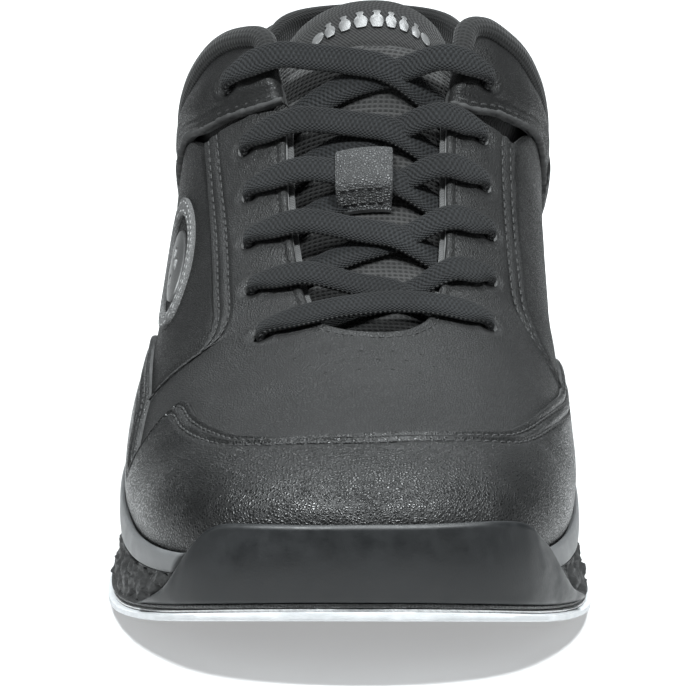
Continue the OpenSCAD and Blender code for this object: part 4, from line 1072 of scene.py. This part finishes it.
# ---- tongue: one padded sheet that bends at its free end ----
TONGUE_BACK = [76, 92, 110, 130, 150, 166, 177, 184.5, 189.5]
TONGUE_HALF = [0.26, 0.36, 0.4, 0.42, 0.41, 0.38, 0.35, 0.34, 0.27]
TONGUE_DROP = [0.9, 0.15, 0, 0, 0, -0.5, -2.4, -4.2, -5.8]
TONGUE_D, TONGUE_T = -6.2, 5.8
ACROSS, ALONG = 90, 150
TONGUE_SEAM = 0.735                                      # where the mesh is sewn to the twill of the free end
HINGE_TILT, HINGE_ZONE = math.radians(54), 0.008         # the tilt of the plane at the seam that parts the two cloths, and a width in metres to either side of it


def tongue_surface(u, f, d):
    back, half_width, drop = curve(TONGUE_BACK, u), curve(TONGUE_HALF, u), curve(TONGUE_DROP, u)
    return place(station(back), half_width * f, drop + TONGUE_D + d)


f = np.sin(np.linspace(-1, 1, ACROSS + 1) * np.pi / 2)[None, :]
u, f = np.broadcast_arrays(ridged(ALONG, 0.5)[:, None], f)
thick = TONGUE_T * (1 - 0.35 * f**2)
end = np.clip((1 - u) / 0.045, 0, 1)
round_off = (np.sqrt(np.maximum(0, 1 - np.abs(f)**7)) * np.sqrt(np.maximum(0, 1 - (1 - end)**2))
             * np.clip(u / 0.03, 0.1, 1))
middle = -thick / 2
pillow = 0.5 * (1 - f**2) * np.sin(np.pi * np.clip((u - 0.72) / 0.3, 0, 1))
seams = -0.45 * bell(u - TONGUE_SEAM, 0.007), -0.4 * bell(np.abs(f) - 0.86, 0.035)
uneven = wrinkles(tongue_surface(u, f, 0 * f), 14, 0.45, 31)
face = tongue_surface(u, f, middle + thick / 2 * round_off + (pillow + seams[0] + seams[1] + uneven) * round_off)
below = tongue_surface(u, f, middle - thick / 2 * round_off - 0.3 * uneven * round_off)
tongue_obj = sheet_mesh("padded_tongue", face, below, slot="tongue_fabric", body=None,
                        nodes=["tongue_face", "tongue_foam", "tongue_flap_face", "tongue_flap_foam"],
                        look="tongue_mesh tongue", sharp=75)
FREE_WAY = Vector((0, math.sin(HINGE_TILT), math.cos(HINGE_TILT)))
seam_point = Vector(tongue_surface(np.array(TONGUE_SEAM), np.array(0.0), np.array(0.0))) * MM
twill = [int((polygon.center - seam_point).dot(FREE_WAY) > 0) for polygon in tongue_obj.data.polygons]
tongue_obj.data.polygons.foreach_set("material_index", np.array(twill, np.int32))
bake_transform(tongue_obj)


# ---- silver print on the tongue: an arched row of pins between two balls ----
def printed(name, outlines, d_low, d_high, spot, **kw):
    """Raised flat shapes; spot turns a flat [x, y] into a point on the surface at a depth."""
    verts, faces = [], []
    for outline in outlines:
        base, n = len(verts), len(outline)
        outline = np.array(outline)
        c = outline.mean(0)
        for d, shrink in ((d_low, 1.0), (d_high - 0.06, 1.0), (d_high, 0.94)):
            verts += [spot(x, y, d) for x, y in c + (outline - c) * shrink]
        verts.append(spot(c[0], c[1], d_high + 0.03))
        faces += [tuple(q) for q in base + ring_quads(3, n)]
        faces += [(base + 2 * n + k, base + 2 * n + (k + 1) % n, base + 3 * n) for k in range(n)]
        faces.append(tuple(base + k for k in range(n - 1, -1, -1)))
    return piece(name, verts, faces, sharp=30, **kw)


PIN = [
    (0, 0), (0.19, 0.02), (0.26, 0.2), (0.3, 0.38), (0.25, 0.56), (0.13, 0.72), (0.12, 0.8), (0.18, 0.9),
    (0.13, 0.98), (0, 1)
]
PIN += [(-x, y) for x, y in PIN[-2:0:-1]]
MARK_REACH, MARK_ARCH, MARK_AT = 26, 0.03, 0.838         # half of its width, its arch and its place up the tongue
MARK_BALL, PIN_HIGH, PIN_GAP = 2.8, 10.5, 6.6


def badge_spot(x, y, d):
    """x in millimetres across the tongue, y in millimetres up it, from the middle of the mark."""
    f = x / MARK_REACH
    u = np.array(MARK_AT - MARK_ARCH * f * f + y / 125)
    return place(station(curve(TONGUE_BACK, u)), np.array(0.16 * f), curve(TONGUE_DROP, u) + TONGUE_D + 0.55 + d)


marks = []
for k in range(-3, 4):
    size, lean = PIN_HIGH - 0.7 * abs(k), 0.05 * k
    marks.append([(PIN_GAP * k + size * (x + lean * y), size * (y - 0.5)) for x, y in PIN])
for side in (-1, 1):
    marks.append([(side * MARK_REACH + MARK_BALL * math.cos(a), MARK_BALL * math.sin(a) - 1) for a in angles(24)])
printed("tongue_mark", marks, -0.4, 0.3, badge_spot, look="silver", slot="badge_print",
        nodes=["tongue_badge"], body="tongue_end")

# ---- the lace in its rows ----
LACE_W, LACE_T = 7.0, 1.9
END_W, NEAR_W, CROSS_W = 3.6, 3.8, 4.4                   # it is gathered in its holes
UNDER = LINING_IN - 0.3 - LACE_T / 2
OVER = 1.1 + LACE_T / 2
UPPER_D = UNDER + LACE_T + 0.25                          # where one row lies on the other
FINER = 6
LACE_FULL = 1.13


def lace_point(a, b, f, d, w):
    """Point, width and broad direction at a fraction of the way between two holes."""
    s, t = station(mix(a[0], b[0], f)), np.array(mix(a[1], b[1], f))
    slope = unit(skin(s + 0.01, t) - skin(s - 0.01, t))
    return [*place(s, t, d), w, *slope]


def crossing(a, b, middle, rise):
    """From under hole a, across the throat, and over the eyestay into hole b from above."""
    top = OVER + rise
    rows = [(0, -1.6, END_W), (0, -2.9, END_W), (0.008, UNDER + 0.6, NEAR_W), (0.04, UNDER, CROSS_W),
            (0.1, UNDER, LACE_W), (0.22, UNDER, LACE_W), (0.36, mix(UNDER, middle, 0.5), LACE_W),
            (0.46, middle, LACE_W), (0.54, middle, LACE_W), (0.62, middle + 0.9, LACE_W),
            (0.7, mix(middle, OVER, 0.6), LACE_W), (0.78, OVER + rise * 0.6, LACE_W), (0.88, top, LACE_W),
            (0.96, top, CROSS_W), (0.992, top - 0.6, NEAR_W), (1, 0.1 + rise * 0.7, END_W)]
    return [lace_point(a, b, f, d, w) for f, d, w in rows]


def lace_bar(a, b):
    """Straight across on top, between the front pair of holes."""
    rows = [(f, OVER - 0.3 * math.sin(math.pi * f), CROSS_W if f in (0.05, 0.95) else LACE_W)
            for f in (0.05, 0.15, 0.3, 0.45, 0.55, 0.7, 0.85, 0.95)]
    rows = [(0, 0.1, END_W), (0.01, OVER - 0.6, NEAR_W), *rows, (0.99, OVER - 0.6, NEAR_W), (1, 0.1, END_W)]
    return [lace_point(a, b, f, d, w) for f, d, w in rows]


def lace_rows(first):
    """Five crossings that go up the holes, from the hole on side first. The last one lies on the wings."""
    route = []
    for k in range(5):
        side = first if k % 2 == 0 else -first
        middle = UNDER if side == -1 else UPPER_D
        route += crossing(HOLES[side][k], HOLES[-side][k + 1], middle, 2.7 if k == 4 else 0.0)
    return route


lace = np.array(lace_rows(1)[::-1] + lace_bar(HOLES[1][0], HOLES[-1][0]) + lace_rows(-1))
dense = smooth_path(lace, (len(lace) - 1) * FINER + 1)
points, widths, broad = dense[:, :3], dense[:, 3], dense[:, 4:]
for _ in range(2):
    points[1:-1] = mix(points[1:-1], (points[:-2] + points[2:]) / 2, 0.5)
belly = LACE_T * (1.0 + 0.35 * (1 - (widths - END_W) / (LACE_W - END_W)))
tube("woven_lace", points, broad, widths * LACE_FULL, belly, sides=24, power=0.62, slot="lace_fabric",
     nodes=["lace"], look="lace", sharp=80)

# ---- lace keeper ----
KEEPER_FRONT, KEEPER_REAR, KEEPER_LONG, KEEPER_WIDE = 133.5, 150, 19, 14
KEEPER_ACROSS, KEEPER_T = (-0.115, 0.03), 1.2            # t of its two edges, and its thickness
KEEPER_RISE = [0, 0.7, 1, 1, 1, 1, 0.6, 0]               # how far it stands off the tongue, along its length
KEEPER_LOW, KEEPER_HIGH = TONGUE_D + 0.3, UPPER_D + LACE_T / 2 + 2


def keeper_line(v, f):
    """Stations, t and depth of the loop at fractions along and across it."""
    lift = smooth(np.clip(np.interp(v, np.linspace(0, 1, 8), KEEPER_RISE), 0, 1))
    depth = mix(KEEPER_LOW, KEEPER_HIGH, lift)
    return station(mix(KEEPER_FRONT, KEEPER_REAR, v)) + 0 * f, mix(*KEEPER_ACROSS, f), depth


v, f = np.broadcast_arrays(ridged(60, 0.2)[:, None], ridged(36, 0.5)[None, :])
s, t, d = keeper_line(v, f)
side_mm, along_mm = np.minimum(f, 1 - f) * KEEPER_WIDE, v * KEEPER_LONG
loop_out = place(s, t, d + KEEPER_T - rounded(side_mm, 0.5) + double(along_mm, 0.3, 0.35, rows=(1.1, 2.6))
                 - 0.25 * (1 - np.sin(np.pi * f)))
sheet_mesh("lace_keeper_loop", loop_out, place(s, t, d + 0.05), edge_slot=1, slot="keeper_leather",
           nodes=["lace_keeper"], look="keeper cut")
for row_mm in (1.2, 2.8):
    s, t, d = keeper_line(row_mm / KEEPER_LONG, np.linspace(0.08, 0.92, 30))
    add_stitches("keeper_stitches", place(s, t, d + KEEPER_T - 0.05 + 0 * s), normal(s, t), 2.2, 1.7, 0.28)
sew("keeper_stitches", "thread", "keeper_leather")


# ---- emblem on the outer side: a stitched ring round a bowling ball ----
EMBLEM, EMBLEM_LONG, EMBLEM_WIDE = (151, -0.635), 22.0, 0.09
RING_IN, RING_D, RING_SEAMS, EMBLEM_FOOT = 0.76, 1.5, (0.825, 0.945), 0.3
RING_ROWS = [RING_IN, 0.765, 0.775, 0.79, 0.81, 0.825, 0.84, 0.87, 0.9, 0.93, 0.945, 0.96, 0.975, 0.985, 0.995, 1.0]
BALL = 0.55                                              # its radius, as part of the ring's
FINGERS = [(0.2, 0.6), (0.2, 1.9), (0.23, 3.9)]


def emblem_at(r, a):
    return station(EMBLEM[0] + EMBLEM_LONG * r * np.cos(a)), EMBLEM[1] + EMBLEM_WIDE * r * np.sin(a)


def emblem_part(name, r, sides, depth, node, look):
    """A raised round part on the ring's ellipse, from rows of radii; depth gives its face."""
    r, a = np.broadcast_arrays(r, angles(sides)[None])
    s, t = emblem_at(r, a)
    sheet_mesh(name, place(s, t, depth(r, a)), place(s, t, EMBLEM_FOOT + 0 * r), loop=True, slot="ring_leather",
               nodes=[node], look=look)


def ring_face(r, a):
    return (RING_D - rounded(np.minimum(r - RING_IN, 1 - r) * 20, 0.6)
            - 0.15 * bell(r - RING_SEAMS[0], 0.012) - 0.15 * bell(r - RING_SEAMS[1], 0.012))


def ball_face(r, a):
    """A low dome with three finger holes."""
    inner = r / BALL
    dip = np.zeros(r.shape)
    for hole_r, hole_a in FINGERS:
        gap = np.hypot(r * np.cos(a) - hole_r * math.cos(hole_a), r * np.sin(a) - hole_r * math.sin(hole_a))
        dip -= 1.1 * smooth((0.105 - gap) / 0.03)
    return 1.1 + 0.7 * (1 - inner**2) - rounded((1 - inner) * 11, 0.5) + dip


emblem_part("emblem_ring_leather", np.array(RING_ROWS)[:, None], 120, ring_face, "emblem_ring", "ring")
for at_r in RING_SEAMS:
    s, t = emblem_at(at_r, np.linspace(0, TURN, 200))
    add_stitches("emblem_stitches", place(s, t, RING_D - 0.12 + 0 * s), normal(s, t), 2.5, 1.8, 0.28)
sew("emblem_stitches", "pale_thread", "ring_leather")
emblem_part("emblem_ball_print", BALL * np.linspace(0.02, 1, 40)[:, None], 90, ball_face, "emblem_ball", "ball")


# ---- sole ----
def sole_s(back):
    return np.arccos(1 - np.asarray(back, float) / HALF) / np.pi


def floor_z(y):
    """Height of the sole's underside: flat, then rising to the toe."""
    return SPRING * np.maximum(0, (SPRING_START - (y + HALF)) / SPRING_START)**2


def sole_edge(q):
    """The sole's outline in plan; q goes from -1 at the heel along the outer side to 0 at the toe and on to 1."""
    s = np.abs(q)
    return np.stack([sided(SOLE, q, s) + X_SHIFT, 2 * HALF * (1 - np.cos(np.pi * s)) / 2 - HALF], -1)


def outward(q):
    ahead, behind = (sole_edge((q + step + 1) % 2 - 1) for step in (0.01, -0.01))
    e = ahead - behind
    return unit(np.stack([e[..., 1], -e[..., 0]], -1))


def inset(q, d):
    return sole_edge(q) - d * outward(q)


def foot_edge_at(q, d):
    p = skin(np.abs(q), np.where(q < 0, -1.0, 1.0))
    return p[..., :2] + d * outward(q)


def lifted(p, z):
    return np.concatenate([p, np.broadcast_to(z, p.shape[:-1])[..., None]], -1)


def on_floor(p, z):
    """Points in plan, put at a height over the sole's underside."""
    return lifted(p, floor_z(p[..., 1]) + z)


# The guard's top edge: q, x, back and height, as in the part's source.
GUARD = [
    [-0.213, -54.6, 32.7, 12.6], [-0.19, -50.8, 25.2, 16.8], [-0.17, -47.3, 20, 21], [-0.157, -44.6, 17, 26],
    [-0.147, -42.7, 15.8, 29.6], [-0.137, -40.2, 13.8, 33.6], [-0.127, -37.2, 12, 36.8], [-0.115, -33, 10, 38.6],
    [-0.08, -24, 6, 39.6], [-0.04, -12, 3.2, 40.2], [0, 0, 2.4, 40.5], [0.04, 12, 3.2, 40.4], [0.075, 22, 6, 40],
    [0.105, 31, 10.2, 39.3], [0.135, 37.2, 15.4, 37.8], [0.155, 40.6, 19.5, 35.6], [0.168, 42.6, 22.4, 32.5],
    [0.184, 44.8, 26, 29], [0.195, 46.4, 28.3, 25.4], [0.208, 48.4, 31.5, 20.6], [0.225, 50.4, 36, 16],
    [0.249, 53, 44, 12]
]
line = curve(GUARD, np.linspace(0, 1, 261))
guard_q, guard_top = line[:, 0], at_home(np.stack([WIDE * line[:, 1], line[:, 2], line[:, 3]], -1))
guard_low = on_floor(inset(guard_q, 0.6), MIDSOLE_Z + 0.05)
guard_out = lifted(outward(guard_q), 0.0)
v = ridged(48, 0.6)[:, None, None]
guard_body = mix(guard_low[None], guard_top[None], v)
tall = np.linalg.norm(guard_top - guard_low, axis=-1)
girth = lengths(guard_body, 1)
from_edge = np.minimum(np.minimum(v[..., 0], 1 - v[..., 0]) * tall[None], np.minimum(girth, girth[:, -1:] - girth))
swell = 0.9 * np.sin(np.pi * v)
guard_face = guard_body + (swell - 0.8 * rounded(from_edge, 1.3)[..., None]) * guard_out[None]
guard_back = guard_body + (swell - (2.2 - v)) * guard_out[None]
sheet_mesh("toe_guard_rubber", guard_face, guard_back, slot="guard_rubber", nodes=["toe_guard"], look="guard")


def behind_guard(q, z):
    """1 where a point of the sole's side is covered by the guard."""
    order = np.argsort(guard_q)
    top = np.interp(q, guard_q[order], guard_top[order, 2], left=-99, right=-99)
    return smooth((top - z + 1.5) / 3)


def lathe(name, rows, closed, **kw):
    """A piece made of rows that each run once round the sole."""
    return piece(name, np.array(rows).reshape(-1, 3), ring_quads(len(rows), COLS, closed), sharp=50, **kw)


# The midsole is a closed ring of rows from under its middle, out and up its side, and back over its top.
COLS, WALL_ROWS, WALL_FADE = 900, 26, 0.06
TUCK = 3.0                                               # how far the side stands back behind the guard
CHIP, FACET = 4.2, 3.1                                   # sizes of the moulded chips
q = -1 + 2 * np.arange(COLS) / COLS
s = np.abs(q)
o = outward(q)
side_z, feather_z = curve(SIDEWALL_Z, s), curve(FEATHER_Z, s)
BASE_Z = MIDSOLE_Z + 0.15
low_edge = on_floor(inset(q, 0.8), BASE_Z)
high_edge = inset(q, 3.4)
wall = []
for f in ridged(WALL_ROWS, 0.3):
    p = lifted(mix(low_edge[:, :2], high_edge, f), mix(low_edge[:, 2], side_z, f))
    cover = behind_guard(q, p[:, 2])
    rough = np.array([noise.fractal(Vector(x) / CHIP, 0.8, 2.2, 4) for x in p])
    facet = np.array([noise.cell(Vector(x) / FACET) for x in p])
    edge_fade = min(1, f / WALL_FADE, (1 - f) / WALL_FADE)
    p[:, :2] += ((1.05 * rough + 0.8 * (facet - 0.5) - 0.35) * edge_fade - TUCK * cover)[:, None] * o
    wall.append(p)
seat = lifted(foot_edge_at(q, -1.9), feather_z - 2.5)
shelf = lifted(foot_edge_at(q, -1.7), side_z - 0.05)
SPINE = (24 - HALF, HALF - 26)                           # ends of the line where the rows close, under the middle
spine = np.stack([np.full(COLS, X_SHIFT * 0.6), np.clip(low_edge[:, 1], *SPINE)], -1)
middle_low = on_floor(spine, BASE_Z)
half = seat[: COLS // 2 + 1][::-1]
middle_top = lifted(spine, np.interp(spine[:, 1], half[:, 1], half[:, 2]))
under_rows = [on_floor(mix(middle_low, wall[0], f)[:, :2], BASE_Z) for f in (0, 0.25, 0.5, 0.75, 0.93)]
over_rows = [mix(seat, middle_top, f) for f in (0.3, 0.65, 1)]
lathe("midsole_rubber", [*under_rows, *wall, shelf, seat, *over_rows], False, slot="midsole_rubber",
      nodes=["midsole"], look="wall")

# The grey rim between the sidewall and the upper.
rise = feather_z + curve(RIM_RISE, s)
k = np.maximum(s, 0.02)
lip_p = place(k, np.where(q < 0, t_at(k, -1, rise), t_at(k, 1, rise)), 2.5 + 0 * k)[:, :2]
rim_low, rim_in = inset(q, 3.3), foot_edge_at(q, -1.3)
w = side_z + 0.1
profile = [lifted(rim_in, w), lifted(mix(rim_in, rim_low, 0.9), w)]
for f in np.linspace(0, 1, 13):
    bulge = 0.35 * math.sin(math.pi * f) - 0.35 * (rounded(f * 8, 0.8) + rounded((1 - f) * 8, 0.8))
    profile.append(lifted(mix(rim_low, lip_p + 1.0 * o, f) + bulge * o, mix(w, rise, f)))
profile += [lifted(lip_p + 0.55 * o, rise + 0.15), lifted(lip_p, rise - 0.1),
            lifted(foot_edge_at(q, 2.55), feather_z - 0.4), lifted(rim_in, feather_z - 2.3)]
for p in profile:
    p[:, :2] -= (TUCK * behind_guard(q, p[:, 2]))[:, None] * o
lathe("midsole_rim_rubber", profile, True, slot="rim_rubber", nodes=["midsole_rim"], look="rim")


# ---- the changeable layers under the sole ----
def flat_layer(name, front, rear, margin, z, thick, look, slot, body, node, bevel=0.25):
    """A sheet that follows the sole's curve, with slightly rounded edges."""
    ss = mix(sole_s(front + margin if front else 0.3), sole_s(rear), ridged(120, 0.3))
    left, right = inset(-ss, margin), inset(ss, margin)
    flat = mix(left[:, None], right[:, None], ridged(34, 0.7)[None, :, None])
    a, b = lengths(flat, 0), lengths(flat, 1)
    drop = rounded(np.minimum(np.minimum(b, b[:, -1:] - b), np.minimum(a, a[-1:] - a)), bevel)
    return sheet_mesh(name, on_floor(flat, z + thick - drop), on_floor(flat, z + drop), body=body, slot=slot,
                      nodes=[node], look=look, sharp=60)


SLIDE_END, HEEL_START, TAPE_IN = 178, 208, 1.2           # each tape stands a little inside its layer
for body, tape_of, front, rear, look, finish in (
        ("slide_sole", "slide_sole", 0, SLIDE_END, "slide", "slide_fibre"),
        ("heel_pad", "heel", HEEL_START, 2 * HALF - 0.3, "heel", "heel_rubber")):
    flat_layer(body + "_sheet", front, rear, 0.0, 0, PAD_T, look, finish, body, body, 0.4)
    flat_layer(body + "_loops", front, rear - TAPE_IN, TAPE_IN, PAD_T + 0.02, TAPE_T - 0.02, "loop", "loop_tape",
               body, tape_of + "_loop_sheet")
    flat_layer(tape_of + "_hooks", front, rear - TAPE_IN, TAPE_IN, PAD_T + TAPE_T + 0.3, TAPE_T + 0.15, "hook",
               "hook_tape", "shoe", tape_of + "_hook_sheet")

# ---- sock liner ----
SOCK_IN, SOCK_T = 4.6, 4.6                               # its gap to the skin, and its thickness in the middle
ss = mix(0.1, 0.97, np.linspace(0, 1, 110))
left, right = skin(ss, -1.0), skin(ss, 1.0)
f = np.linspace(0, 1, 40)[None, :]
x = mix(left[:, :1] + SOCK_IN, right[:, :1] - SOCK_IN, f)
dish = np.abs(2 * f - 1)**3
sock_low = np.stack(np.broadcast_arrays(x, left[:, 1:2], left[:, 2:] + 0 * x), -1)
sock_top = sock_low.copy()
sock_top[..., 2] += SOCK_T + 3 * dish + wrinkles(sock_top, 20, 0.25, 14)
sock_low[..., 2] += 0.2 + 1.6 * dish
sock = sheet_mesh("sock_liner_cloth", sock_top, sock_low, slot="sock_fabric", nodes=["sock_liner"], look="sock")

for row in ("seam", "throat", "toe", "wing", "heel"):
    sew(row + "_stitches", "thread", "vamp_leather" if row in ("seam", "throat") else "overlay_leather")
